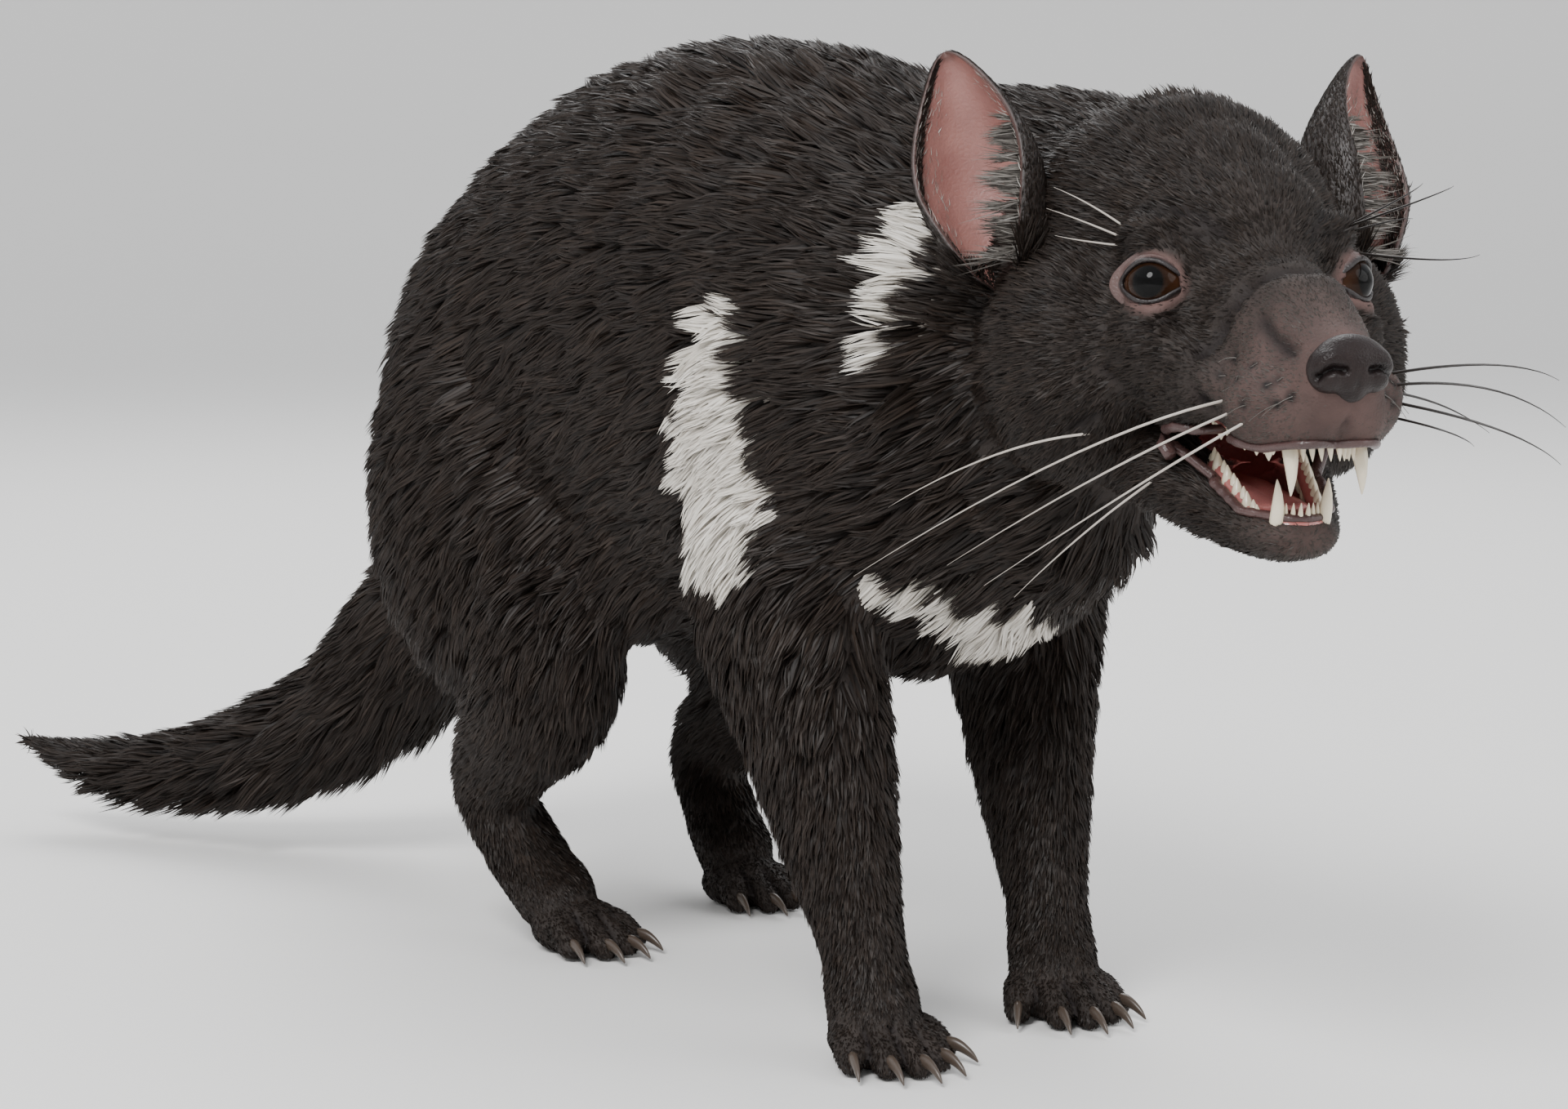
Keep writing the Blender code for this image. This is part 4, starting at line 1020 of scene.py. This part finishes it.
ear_paint, tree = paint("ear skin", Roughness=0.5, Subsurface_Weight=0.15,
                        Subsurface_Radius=(0.003, 0.0012, 0.0008))
inner, _ = crease(tree, 620, 0.30, (0.22, 0.092, 0.082), (0.40, 0.20, 0.172))
vein = banded(tree, noise(tree, 75, distortion=1.6).outputs["Fac"], (0.485, (0, 0, 0)),
              (0.50, (0.55, 0.55, 0.55)), (0.515, (0, 0, 0)))
layered(tree, mixed(tree, vein, inner, (0.22, 0.05, 0.05)), ("back", (0.022, 0.016, 0.014)))
for side, way in SIDES:
    form = bmesh.new()
    layers, back = [], []
    for lift in (EAR_HALF_THICKNESS, -EAR_HALF_THICKNESS):
        grid = []
        for level in range(EAR_LEVELS + 1):
            v = EAR_BURIED + (1 - EAR_BURIED) * level / EAR_LEVELS
            row = []
            for column in range(EAR_COLUMNS + 1):
                u = 2 * column / EAR_COLUMNS - 1
                row.append(form.verts.new(ear_point(way, u, v, lift)))
                edge = max(ramp(abs(u), 0.80, 0.97), ramp(way * u, 0.66, 0.84), ramp(v, 0.94, 1.0))
                back.append(1.0 if lift > 0 else 0.75 * float(edge))
            grid.append(row)
        layers.append(grid)
    outer, inside = layers
    strips = [strip for grid in layers for strip in zip(grid, grid[1:])]
    strips += [(outer[0], inside[0]), (outer[-1], inside[-1])]
    strips += [([row[end] for row in outer], [row[end] for row in inside]) for end in (0, -1)]
    for first, second in strips:
        for number in range(len(first) - 1):
            form.faces.new((first[number], first[number + 1], second[number + 1], second[number]))
    ear = new_piece(f"ear_leaf_{side}", form, head_place)
    keep_field(ear.data, "back", back)
    ear.data.materials.append(ear_paint)
    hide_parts(f"ear_{side}")
    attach(ear, "root")


# The teeth are yellowed ivory, set in pink gums: incisors in front, a long curved canine, and
# cheek teeth with a tall middle point and a lower one before and behind it.
TOOTH = ((0, 0.95), (0.2, 1), (0.45, 0.88), (0.7, 0.62), (0.88, 0.34), (1, 0.10))  # its girths
CHEEK_POINTS = ((0, 1, 0.62), (-0.5, 0.52, 0.46), (0.5, 0.60, 0.46))  # along, height, girth


def add_tooth(form, root, tip, wide, deep, bend=0.0, around=10):
    root, tip = Vector(root), Vector(tip)
    rows = []
    for share, girth in TOOTH:
        spot = root.lerp(tip, share) + Vector((bend * math.sin(math.pi * share), 0, 0))
        rows.append((*spot, deep * girth, wide * girth))
    add_tube(form, rows, up=(0, 1, 0), around=around, steps=1, domes=(45,))


def add_cheek_tooth(form, spot, up, wide, deep, tall):
    """up is 1 for a lower tooth and -1 for an upper one."""
    x, y, z = spot
    for step, share, girth in CHEEK_POINTS:
        root = (x + deep * step, y, z - up * 5)
        add_tooth(form, root, (x + deep * step * 1.1, y, z + up * tall * share),
                  wide, deep * girth)


def upper_row(number, height):
    """Where the upper cheek teeth stand, counted back from the canine."""
    return 35 - 6.4 * number, 11.5 + 0.8 * number, height + 1.45 * number


def lower_row(number, height):
    return 20 - 4.9 * number, 9.8 + 0.8 * number, height + 3.6 * number


upper, lower = bmesh.new(), bmesh.new()
for _, way in SIDES:
    add_tooth(upper, (44.5, way * 10, -45), (47, way * 10.4, -61.5), 2.2, 2.7, 1.4, 14)
    add_tooth(lower, (28, way * 6.8, -71), (31.5, way * 7.6, -57.5), 2.0, 2.4, 1.2, 14)
    for number in range(4):
        x, y = 52.5 - 1.5 * number, 1.3 + 2.0 * number
        add_tooth(upper, (x, way * y, -45.5), (x + 0.6, way * y, -52.4), 1.05, 1.2)
    for number in range(3):
        y = 1.1 + 1.8 * number
        add_tooth(lower, (31.5 - number, way * y, -70), (32.8 - number, way * y, -64), 0.9, 1.1)
    for number in range(5):
        x, y, z = upper_row(number, -48.0)
        add_cheek_tooth(upper, (x, way * y, z), -1, 2.2, 5.6, 4.0)
        x, y, z = lower_row(number, -66.5)
        add_cheek_tooth(lower, (x, way * y, z), 1, 2.0, 4.4, 3.4)
tooth_paint, tree = paint("teeth", Roughness=0.22, Coat_Weight=0.4)
stain = noise(tree, 420, detail=4).outputs["Fac"]
layered(tree, mixed(tree, stain, (0.50, 0.40, 0.24), (0.84, 0.79, 0.66)))
for name, form in (("teeth_upper", upper), ("teeth_lower", lower)):
    teeth = new_piece(name, form, head_place)
    teeth.data.materials.append(tooth_paint)
    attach(teeth, "root")


# The gums are ridges of wet pink flesh that follow each row of teeth round the jaw.
GUM_GIRTHS = (2.2, 2.7)
gum_form = bmesh.new()
for row, height, front in (
    (upper_row, -45.8, ((43.5, 9.8, -46.2), (49, 7, -46.0), (51.5, 2.5, -45.8))),
    (lower_row, -68.4, ((27, 7, -70.6), (30, 4.6, -70.8), (31, 1.5, -70.8))),
):
    line = [row(number, height) for number in (4, 3, 2, 1, 0)] + list(front)
    ridge = [(x, -y, z, *GUM_GIRTHS) for x, y, z in line]
    ridge += [(x, y, z, *GUM_GIRTHS) for x, y, z in line[::-1]]
    add_tube(gum_form, ridge, around=12, steps=3)
gums = new_piece("gums", gum_form, head_place)
gum_paint, tree = paint("gums", Roughness=0.25, Coat_Weight=0.5)
layered(tree, crease(tree, 500, 0.25, (0.24, 0.060, 0.055), (0.50, 0.19, 0.17))[0])
gums.data.materials.append(gum_paint)
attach(gums, "root")


# The lips are a dark, moist, hairless roll along each edge of the mouth, which they follow back
# to its corners.
LIP_SUNK = 0.6  # how far the roll's middle lies inside the head's surface
lip_form = bmesh.new()
for edge in (UPPER_EDGE, LOWER_EDGE):
    ridge = []
    for step in range(-28, 29):
        a = math.radians(4.2 * step)
        out = Vector((math.cos(a), math.sin(a), 0))
        height = edge[3][1]
        for _ in range(5):  # closes in on where the edge meets the head's surface
            middle = Vector((8, 0, height))
            found = (closed_head.ray_cast(head_place @ (middle + out * 110),
                                          -(head_turn.to_3x3() @ out))[0]
                     or closed_head.find_nearest(head_place @ (middle + out * 40))[0])
            spot = head_place.inverted() @ found
            height = float(np.interp(spot.x, *zip(*edge)))
        spot = spot - out * LIP_SUNK
        girth = 1.7 - 0.2 * math.cos(a) + 0.12 * math.sin(step * 1.9)
        ridge.append((spot.x, spot.y, height, girth, girth * 0.85))
    add_tube(lip_form, ridge, around=12, steps=2)
lips = new_piece("lips", lip_form, head_place)
lip_paint, tree = paint("lips", Roughness=0.36)
layered(tree, crease(tree, 800, 0.4, (0.014, 0.009, 0.009), (0.095, 0.048, 0.044))[0])
lips.data.materials.append(lip_paint)
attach(lips, "root")


# The tongue lies on the floor of the mouth, dished along its middle and rough with small knobs.
TONGUE = ((-26, 0, -59, 8, 3.6), (-10, 0, -61, 9.5, 3.6), (6, 0, -64, 9.5, 3.0),
          (17, 0, -65.5, 8.0, 2.4), (23, 0, -65.5, 5.0, 1.8))
TONGUE_GROOVE = 1.1
tongue_form = bmesh.new()
add_tube(tongue_form, TONGUE, around=28, steps=6)
for corner in tongue_form.verts:
    if corner.co.z > -66:
        corner.co.z -= TONGUE_GROOVE * math.exp(-(corner.co.y / 2.0) ** 2)
tongue = new_piece("tongue_flesh", tongue_form, head_place)
tongue_paint, tree = paint("tongue", Roughness=0.30, Coat_Weight=0.4)
layered(tree, crease(tree, 1300, 0.6, (0.36, 0.10, 0.095), (0.60, 0.27, 0.25))[0])
tongue.data.materials.append(tongue_paint)
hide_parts("tongue")
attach(tongue, "root")


# The claws are dark horn, paler at their points, each curved down from the end of its toe.
CLAW = (  # its share of the claw's length, its height on the toe and its girth
    (-0.5, 5.6, 1.9), (0.0, 6.3, 2.2), (0.3, 5.9, 1.9), (0.55, 4.9, 1.55), (0.8, 3.4, 1.1),
    (1, 1.7, 0.35),
)
CLAW_LENGTH = 10
CLAW_ROOT = 2.5  # ahead of the toe's end
claw_form = bmesh.new()
for end, side in PAWS:
    for root, heading, length in toes(end, side):
        outward = Vector((math.cos(heading), math.sin(heading), 0))
        rows = []
        for share, height, girth in CLAW:
            reach = length + CLAW_ROOT + CLAW_LENGTH * share
            rows.append((*(Vector((*root, height)) + outward * reach), girth * 0.72, girth))
        piece = bmesh.new()
        add_tube(piece, rows, around=10, steps=2, domes=(45,))
        piece.transform(paw_place(end, side))
        scrap = bpy.data.meshes.new("claw")
        piece.to_mesh(scrap)
        piece.free()
        claw_form.from_mesh(scrap)
        bpy.data.meshes.remove(scrap)
claws = new_piece("claws", claw_form)
claw_paint, tree = paint("claws", Roughness=0.32)
streaks = noise(tree, 600, detail=3).outputs["Fac"]
layered(tree, mixed(tree, streaks, (0.018, 0.013, 0.011), (0.10, 0.074, 0.056)))
claws.data.materials.append(claw_paint)
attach(claws, "root")


# The coat is coarse hair that hangs together in tapered tufts and lies back along the body. It is
# black with a brown cast, longest on the neck, rump and tail and very short on the face and feet.
# Each tuft is a thin bent blade rooted in the hide, and neighbours lean to a common tip.
TUFTS = 300000
LEADS = 15000  # tufts to whose tips their neighbours lean
LOCKS = 2400  # leads to whose tips the other leads lean a little
LONG = 0.0085  # hair that is bent in three steps and not two
TUFT_REACH = 0.94  # how far along its lie a tuft reaches, as a share of its length
MOST_TRIANGLES = 190000  # in one piece of the coat
rng = np.random.default_rng(11)

hide_form = bmesh.new()
hide_form.from_mesh(hide.data)
bmesh.ops.triangulate(hide_form, faces=hide_form.faces)
hide_form.to_mesh(hide.data)
hide_form.free()
bpy.context.view_layer.objects.active = hide
hide.select_set(True)
bpy.ops.object.mode_set(mode="EDIT")
bpy.ops.mesh.select_all(action="SELECT")
bpy.ops.uv.smart_project(angle_limit=math.radians(66), island_margin=0.002)
bpy.ops.object.mode_set(mode="OBJECT")
hide.select_set(False)

mesh = hide.data
faces = np.empty(len(mesh.polygons) * 3, int)
mesh.loops.foreach_get("vertex_index", faces)
faces = faces.reshape(-1, 3)
unwrap = np.empty(len(mesh.loops) * 2)
mesh.uv_layers.active.data.foreach_get("uv", unwrap)
unwrap = unwrap.reshape(-1, 3, 2)
places, ways = corner_places(mesh)
no_coat = np.clip(in_mouth + (lip > 0.45) + (deep > 2.2) * (face[:, 0] > -25), 0, 1)
density = np.interp(fields["length"], (0.002, 0.005, 0.010, 0.017), (1.35, 1.20, 0.80, 0.44))
density *= 1 - no_coat
density *= 1 - 0.93 * np.clip(fields["bare"] * 1.4, 0, 1)
density *= (1 - 0.9 * fields["dots"]) * (1 - 0.85 * groove) * (1 - 0.45 * muzzle_bare)
density[places[:, 2] < 0.0012] = 0  # the soles

# The lie is evened out over the hide, so that no bare parting opens between two masses.
pairs = np.unique(np.sort(np.r_[faces[:, :2], faces[:, 1:], faces[:, ::2]], axis=1), axis=0)


def flatten(lies, normals):
    """Directions laid along the surface whose normals are given."""
    return unit(lies - (lies * normals).sum(1)[:, None] * normals)


lie = flatten(fields["lie"], ways)
for _ in range(24):
    spread = 0.6 * lie
    for column in range(3):
        for here, there in ((0, 1), (1, 0)):
            spread[:, column] += np.bincount(pairs[:, here], lie[pairs[:, there], column], len(lie))
    lie = flatten(spread, ways)
fields["lie"] = lie

# The roots are strewn over the hide's triangles, as densely as each corner asks.
tri = places[faces]
area = np.linalg.norm(np.cross(tri[:, 1] - tri[:, 0], tri[:, 2] - tri[:, 0]), axis=1) / 2
wish = area * density[faces].min(1)
pick = np.sort(rng.choice(len(faces), TUFTS, p=wish / wish.sum()))
a, b = np.sqrt(rng.random(TUFTS)), rng.random(TUFTS)
shares = np.c_[1 - a, a * (1 - b), a * b]


def at_roots(values):
    """A field of the hide's corners at the roots."""
    taken = values[faces[pick]]
    if taken.ndim == 3:
        return (taken * shares[:, :, None]).sum(1)
    return (taken * shares).sum(1)


def blades(roots, normals, lies, lengths, widths, lifts, rolls, pulls, rows):
    """Thin tapered blades of that many rows, the last of which is the point. pulls moves the tip
    of each towards its clump's. Gives back their places, in one block for each blade."""
    count = len(roots)
    across = np.cross(lies, normals)
    across = across * np.cos(rolls)[:, None] + normals * np.sin(rolls)[:, None]
    girths = np.interp(np.linspace(0, 1, rows), (0, 0.3, 0.7, 1), (0.70, 1.0, 0.56, 0.0))
    corners = np.empty((count, 2 * rows - 1, 3))
    for row in range(rows):
        s = row / (rows - 1)
        height = -0.12 + (lifts + 0.42) * s - 0.30 * s ** 2
        spine = roots + normals * (lengths * height)[:, None]
        spine = spine + lies * (lengths * TUFT_REACH * s)[:, None] + pulls * s ** 1.6
        half = across * (widths * girths[row] / 2)[:, None]
        if row < rows - 1:
            corners[:, 2 * row] = spine - half
            corners[:, 2 * row + 1] = spine + half
        else:
            corners[:, 2 * row] = spine
    return corners


def coat_piece(name, corners, uv, shades, whites):
    """One joined mesh of blades, with the OFBake map and the fields that colour it."""
    count, each = corners.shape[:2]
    rows = (each + 1) // 2
    pattern = [corner for row in range(rows - 2)
               for corner in (2 * row, 2 * row + 1, 2 * row + 3, 2 * row + 2)]
    pattern += [2 * rows - 4, 2 * rows - 3, 2 * rows - 2]
    sizes = [4] * (rows - 2) + [3]
    mesh = bpy.data.meshes.new(name)
    mesh.vertices.add(count * each)
    corners[:, :, 2] = np.maximum(corners[:, :, 2], 0.0006)  # no tuft reaches into the floor
    mesh.vertices.foreach_set("co", corners.reshape(-1).astype(np.float32))
    loops = (np.arange(count)[:, None] * each + np.array(pattern)[None, :]).ravel()
    mesh.loops.add(len(loops))
    mesh.loops.foreach_set("vertex_index", loops.astype(np.int32))
    mesh.polygons.add(count * len(sizes))
    starts = np.cumsum([0] + sizes[:-1])
    starts = (np.arange(count)[:, None] * sum(sizes) + starts[None, :]).ravel()
    mesh.polygons.foreach_set("loop_start", starts.astype(np.int32))
    mesh.update(calc_edges=True)
    along = [(corner // 2) / (rows - 1) for corner in range(each)]
    patch = np.array([(0 if corner == each - 1 else corner % 2 - 0.5, along[corner] - 0.5)
                      for corner in range(each)])
    spread = uv[:, None, :] + 0.003 * patch[None, :, :]
    uv_layer = mesh.uv_layers.new(name="OFBake")
    uv_layer.data.foreach_set("uv", spread[:, pattern].reshape(-1).astype(np.float32))
    keep_field(mesh, "along", np.tile(along, count))
    keep_field(mesh, "shade", np.repeat(shades, each))
    keep_field(mesh, "white", np.repeat(whites, each))
    mesh.shade_smooth()
    mesh.materials.append(coat_paint)
    piece = bpy.data.objects.new(name, mesh)
    bpy.context.scene.collection.objects.link(piece)
    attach(piece, "root")


coat_paint, tree = paint("coat", Roughness=0.50, Specular_IOR_Level=0.18)
shade = field(tree, "shade")
dark = mixed(tree, shade, (0.0042, 0.0034, 0.0032), (0.037, 0.026, 0.020))
browned = mixed(tree, field(tree, "along"), dark, (0.024, 0.016, 0.012))
pale = mixed(tree, shade, (0.56, 0.52, 0.46), (0.84, 0.81, 0.76))
layered(tree, mixed(tree, 0.5, dark, browned), ("white", pale))

roots = at_roots(places)
normals = unit(at_roots(ways))
lies = flatten(at_roots(fields["lie"]), normals)
lengths, lifts, on_head, bares, tufted, under, tail = (
    at_roots(fields[name])
    for name in ("length", "lift", "on_head", "bare", "tufted", "under", "tail"))
whites = (at_roots(fields["white"]) + rng.normal(0, 0.06, TUFTS) > 0.5) * 1.0
uv = (unwrap[pick] * shares[:, :, None]).sum(1)

# Clumps: every so often a root leads, and those round it lean to its tip.
lead = rng.choice(TUFTS, LEADS, replace=False)
lead_turn = rng.normal(0, 0.20, LEADS)
lead_long = rng.uniform(0.85, 1.20, LEADS)
lead_lift = lifts[lead] + rng.normal(0.03, 0.06, LEADS)


def turned(lies, normals, angles):
    """Lies turned on the surface by so many radians each."""
    beside = np.cross(normals, lies)
    return unit(lies * np.cos(angles)[:, None] + beside * np.sin(angles)[:, None])


def tips(roots, normals, lies, lengths, lifts):
    """Where tufts end before they lean to each other."""
    return roots + lies * (lengths * TUFT_REACH)[:, None] + normals * (lengths * lifts)[:, None]


lead_lie = turned(lies[lead], normals[lead], lead_turn)
lead_tip = tips(roots[lead], normals[lead], lead_lie, lengths[lead] * lead_long, lead_lift)


def nearest_of(leaders, points):
    """Which leader stands nearest to each point."""
    finder = kdtree.KDTree(len(leaders))
    for number, leader in enumerate(leaders):
        finder.insert(leader, number)
    finder.balance()
    return np.array([finder.find(point)[1] for point in points])


def held(pulls, most):
    """Pulls, none of them longer than its most."""
    reach = np.linalg.norm(pulls, axis=1)
    return pulls * np.minimum(1, most / np.maximum(reach, 1e-6))[:, None]


lock = rng.choice(LEADS, LOCKS, replace=False)
lock_tip = lead_tip[lock][nearest_of(roots[lead[lock]], roots[lead])]
lead_tip += held(0.34 * (lock_tip - lead_tip), 0.30 * lengths[lead])
clump = nearest_of(roots[lead], roots)
whites = np.where(lengths > 0.008, whites[lead][clump], whites)
lies = turned(lies, normals, rng.normal(0, 0.16, TUFTS))
lengths = lengths * rng.uniform(0.75, 1.12, TUFTS) * lead_long[clump]
lengths = np.where(bares > 0.3, lengths * 0.5, lengths)
lifts = lifts + rng.normal(0, 0.05, TUFTS)
lean = np.clip((lengths - 0.004) / 0.012, 0, 1) * 0.62
pulls = (lead_tip[clump] - tips(roots, normals, lies, lengths, lifts)) * lean[:, None]
pulls = held(pulls, 0.5 * lengths)
widths = np.interp(lengths, (0.002, 0.006, 0.018, 0.030), (0.00060, 0.00080, 0.00112, 0.00135))
muzzle = at_roots(muzzle_bare)
widths = widths * rng.uniform(0.75, 1.2, TUFTS) * (1 - 0.30 * on_head) * (1 - 0.6 * muzzle)
rolls = rng.normal(0, 0.55, TUFTS)
# Each tuft's tone varies at random. Tufts at a row where the coat breaks are painted paler, partly
# browner tips and partly painted highlight. Hair in the face's folds and between the toes, and hair
# under those tufts' tips, is painted darker as painted shade and painted shadow.
shades = rng.beta(1.4, 4.4, TUFTS) + rng.normal(0, 0.07, LEADS)[clump] + 0.42 * tufted
shades = np.clip(shades - (0.35 * at_roots(groove) + 0.55 * under), 0, 1)
whites = np.maximum(whites, 0.11 * muzzle)

long_ones = lengths > LONG
regions = {"coat_head": on_head > 0.5, "coat_tail": tail > 0.5}
legs = (roots[:, 2] < 0.115) & ~regions["coat_tail"] & ~regions["coat_head"]
regions["coat_forelegs"] = legs & (roots[:, 0] > 0.06)
regions["coat_hindlegs"] = legs & (roots[:, 0] <= 0.06)
rest = ~(regions["coat_head"] | regions["coat_tail"] | legs)
regions["coat_front"] = rest & (roots[:, 0] > 0.10)
regions["coat_middle"] = rest & (roots[:, 0] <= 0.10) & (roots[:, 0] > -0.03)
regions["coat_rear"] = rest & (roots[:, 0] <= -0.03)
for chosen in regions.values():
    if (chosen & ~long_ones).sum() < 3000:  # too few for a piece of their own
        long_ones |= chosen
for name, chosen in regions.items():
    for kind, same, rows in (("long", long_ones, 4), ("short", ~long_ones, 3)):
        members = np.nonzero(chosen & same)[0]
        if not len(members):
            continue
        parts = math.ceil(len(members) / (MOST_TRIANGLES // (2 * rows - 3)))
        for part, block in enumerate(np.array_split(members, parts)):
            corners = blades(*(values[block] for values in (
                roots, normals, lies, lengths, widths, lifts, rolls, pulls)), rows)
            coat_piece(f"{name}_{kind}_{part + 1}", corners, uv[block], shades[block],
                       whites[block])


# The ears are furred outside with short dark hair that lies towards their tips, and inside carry
# only a few pale hairs and a ragged fringe along the front edge. Long hair hides their roots.
EAR_HAIR = {  # how many, length, its loss up the ear, width, lift, stray, and shade or paleness
    "back": (9500, 3.8, 1.2, 0.44, 0.10, 0.22, 0.7),
    "inside": (800, 5.5, 2, 0.22, 0.10, 0.30, (0.25, 0.75)),
    "fringe": (1000, 18, 12, 0.42, 0.20, 0, (0.0, 0.26)),
    "root": (1500, 9.5, 30, 0.70, 0.32, 0.3, 0.8),
    "throat": (1500, 6.5, 25, 0.60, 0.40, 0.5, 0.8),
    "rim": (1900, 4.4, 1.6, 0.42, 0.12, 0.3, 0.7),
}
for side, way in SIDES:
    forward = -way  # the edge of the leaf that is nearer to the nose
    groups = []
    for kind, (count, tall, loss, width, lift, stray, tint) in EAR_HAIR.items():
        if kind == "back":
            u, v = rng.uniform(-1, 1, count), rng.uniform(0, 0.985, count)
        elif kind == "inside":
            v = rng.uniform(0.02, 0.85, count)
            u = np.where(rng.random(count) < 0.5, -1, 1) * (1 - 0.55 * rng.random(count) ** 1.5)
        elif kind == "fringe":
            v, u = 0.62 * rng.random(count), forward * (1 - 0.12 * rng.random(count))
        elif kind == "root":
            u = rng.choice((-1, 1), count) * (1 - rng.random(count) ** 1.6)
            v = rng.uniform(-0.09, 0.10, count)
        elif kind == "throat":
            v, u = rng.uniform(-0.09, 0.09, count), rng.uniform(-1.0, 1.0, count)
        else:
            u, v = -forward * (1 - 0.22 * rng.random(count)), rng.uniform(0, 0.96, count)
        length = tall - loss * np.abs(v)
        turn = rng.normal(0, stray, count) if stray else np.zeros(count)
        if kind in ("inside", "fringe"):
            shade, white = rng.random(count), rng.uniform(*tint, count)
        else:
            shade, white = rng.beta(1.5, 3, count) * tint, 0.0
        face_side = 1 if kind in ("back", "root") else -1
        here = ear_point(way, u, v, face_side * 0.7)
        out = unit(ear_point(way, u, v, face_side * 1.7) - here)
        up = unit(ear_point(way, u, v + 0.02, face_side * 0.7) - here)
        beside = unit(ear_point(way, u + 0.02, v, face_side * 0.7) - here)
        beside = unit(beside - (beside * up).sum(1)[:, None] * up)
        lie = up * np.cos(turn)[:, None] - beside * np.sin(turn)[:, None]
        if kind == "fringe":  # it hangs from the edge over the opening, in tufts
            tuft = (10.5 * v + 0.30 * np.sin(29 * v)) % 1 - 0.5
            length = length * (1 - np.abs(tuft)) * (1 + 0.22 * np.sin(61 * v))
            _, _, lean, facing, across = ear_axes(way)
            lie = 0.30 * lean - forward * across + 0.25 * facing - 0.55 * tuft[:, None] * lean
            lie = unit(lie + rng.normal(0, 0.12, (count, 3)))
            out = unit(facing - (lie @ facing)[:, None] * lie)
        full = np.ones(count)
        rise = full * lift * (1 + rng.normal(0, 0.3, count))
        corners = blades(
            here, out, lie, full * length * rng.uniform(0.7, 1.15, count),
            full * width * rng.uniform(0.8, 1.2, count), rise, rng.normal(0, 0.5, count),
            np.zeros((count, 3)), 3)
        half = 0 if face_side > 0 else 0.5
        patch = np.c_[0.25 + 0.23 * u + half, 0.1 + 0.85 * np.clip(v, 0, 1)]
        groups.append((corners, patch, full * shade, full * white))
    corners, *rest = (np.concatenate([group[part] for group in groups]) for part in range(4))
    corners = move(corners.reshape(-1, 3), head_place).reshape(corners.shape)
    coat_piece(f"coat_ear_{side}", corners, *rest)


# The whiskers are long bristles that spring from the pads beside the nose, the cheeks and the
# brows. Each is a thin curved tube that tapers to nothing. They are black, and paler on the near
# cheek and brow. Short dark bristles stand in the pads' pits.
WHISKERS = (  # the side, root, a way point and tip in millimetres, half its girth, how pale
    (1, (46, 19, -30), (67.2, 40, -27.5), (73, 56, -32), 0.50, 0),
    (1, (48, 19, -33), (67.1, 40, -34.3), (72.5, 58, -44.5), 0.50, 0),
    (1, (46, 19, -37), (69.5, 41, -45.2), (71.5, 57, -54.5), 0.48, 0),
    (1, (43, 20, -40), (58.3, 31, -45.4), (54.7, 40, -49.3), 0.40, 0),
    (1, (34, 22, -34), (31, 42, -38), (20, 62, -46), 0.45, 0),
    (-1, (-20, 44, -45), (-42, 67, -51), (-101, 81, -67.5), 0.44, 0.7),
    (-1, (31, 22, -35.7), (0, 61, -52.2), (-105, 88, -86.5), 0.46, 0.7),
    (-1, (35, 22, -38.9), (5, 52, -57), (-81, 66, -83), 0.44, 0.7),
    (-1, (42, 20, -40.7), (15, 45, -60.3), (-58.6, 62, -88.3), 0.44, 0.7),
    (-1, (-12, 29, -58), (-19, 46, -73), (-49, 56, -91.5), 0.40, 0.7),
    (-1, (-21, 33, 16), (-30, 39, 22), (-40, 45, 27), 0.36, 0.6),
    (-1, (-20, 35, 12), (-30, 41, 17), (-41, 47, 21), 0.36, 0.6),
    (-1, (-20, 36, 9), (-28, 41, 11), (-37, 46, 13), 0.36, 0.6),
    (1, (4, 32, 15), (26.4, 40, 19.4), (36, 44, 22.2), 0.38, 0),
    (1, (2, 33, 16), (14.5, 39.5, 20.9), (16.7, 44, 24.4), 0.36, 0),
    (1, (2, 36, 1), (29.5, 42, 2.3), (47.4, 46, 2.8), 0.40, 0),
    (1, (1, 34, 12), (8, 38.5, 14.3), (14.3, 42, 14.5), 0.34, 0),
)
hide_surface = surface_of(hide)
whisker_form = bmesh.new()
paleness = []


def add_whisker(root, middle, tip, girth, pale):
    """A bristle on a curve from its root in the hide through a middle point to its tip."""
    root = head_place.inverted() @ hide_surface.find_nearest(head_place @ root)[0]
    bend = 2 * middle - (root + tip) / 2
    rows = [(*(root - (bend - root).normalized() * 1.5), girth, girth)]
    for t in (0, 0.12, 0.27, 0.44, 0.62, 0.80, 0.92, 1):
        spot = root * (1 - t) ** 2 + bend * (2 * t * (1 - t)) + tip * t ** 2
        slim = max(girth * (1 - 0.88 * t ** 1.3), 0.07)
        rows.append((*spot, slim, slim))
    before = len(whisker_form.verts)
    add_tube(whisker_form, rows, around=6, steps=2, domes=(45,))
    paleness.extend([pale] * (len(whisker_form.verts) - before))


for _, way in SIDES:
    flip = Vector((1, way, 1))
    for which, root, middle, tip, girth, pale in WHISKERS:
        if which == way:
            add_whisker(*(Vector(point) * flip for point in (root, middle, tip)), girth, pale)
    for number, dot in enumerate(PAD_DOTS):
        sweep = Vector((-0.55, 0.75, -0.25 - 0.05 * number)) * (5 + 0.5 * number)
        root = Vector(dot)
        add_whisker(root * flip, (root + sweep * 0.5 + Vector((0, 0, 0.5))) * flip,
                    (root + sweep) * flip, 0.17, 0.1)
whiskers = new_piece("whiskers", whisker_form, head_place)
keep_field(whiskers.data, "pale", paleness)
whisker_paint, tree = paint("whiskers", Roughness=0.35)
streaks = noise(tree, 300).outputs["Fac"]
layered(tree, mixed(tree, streaks, (0.006, 0.005, 0.005), (0.024, 0.019, 0.016)),
        ("pale", (0.62, 0.56, 0.50)))
whiskers.data.materials.append(whisker_paint)
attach(whiskers, "root")
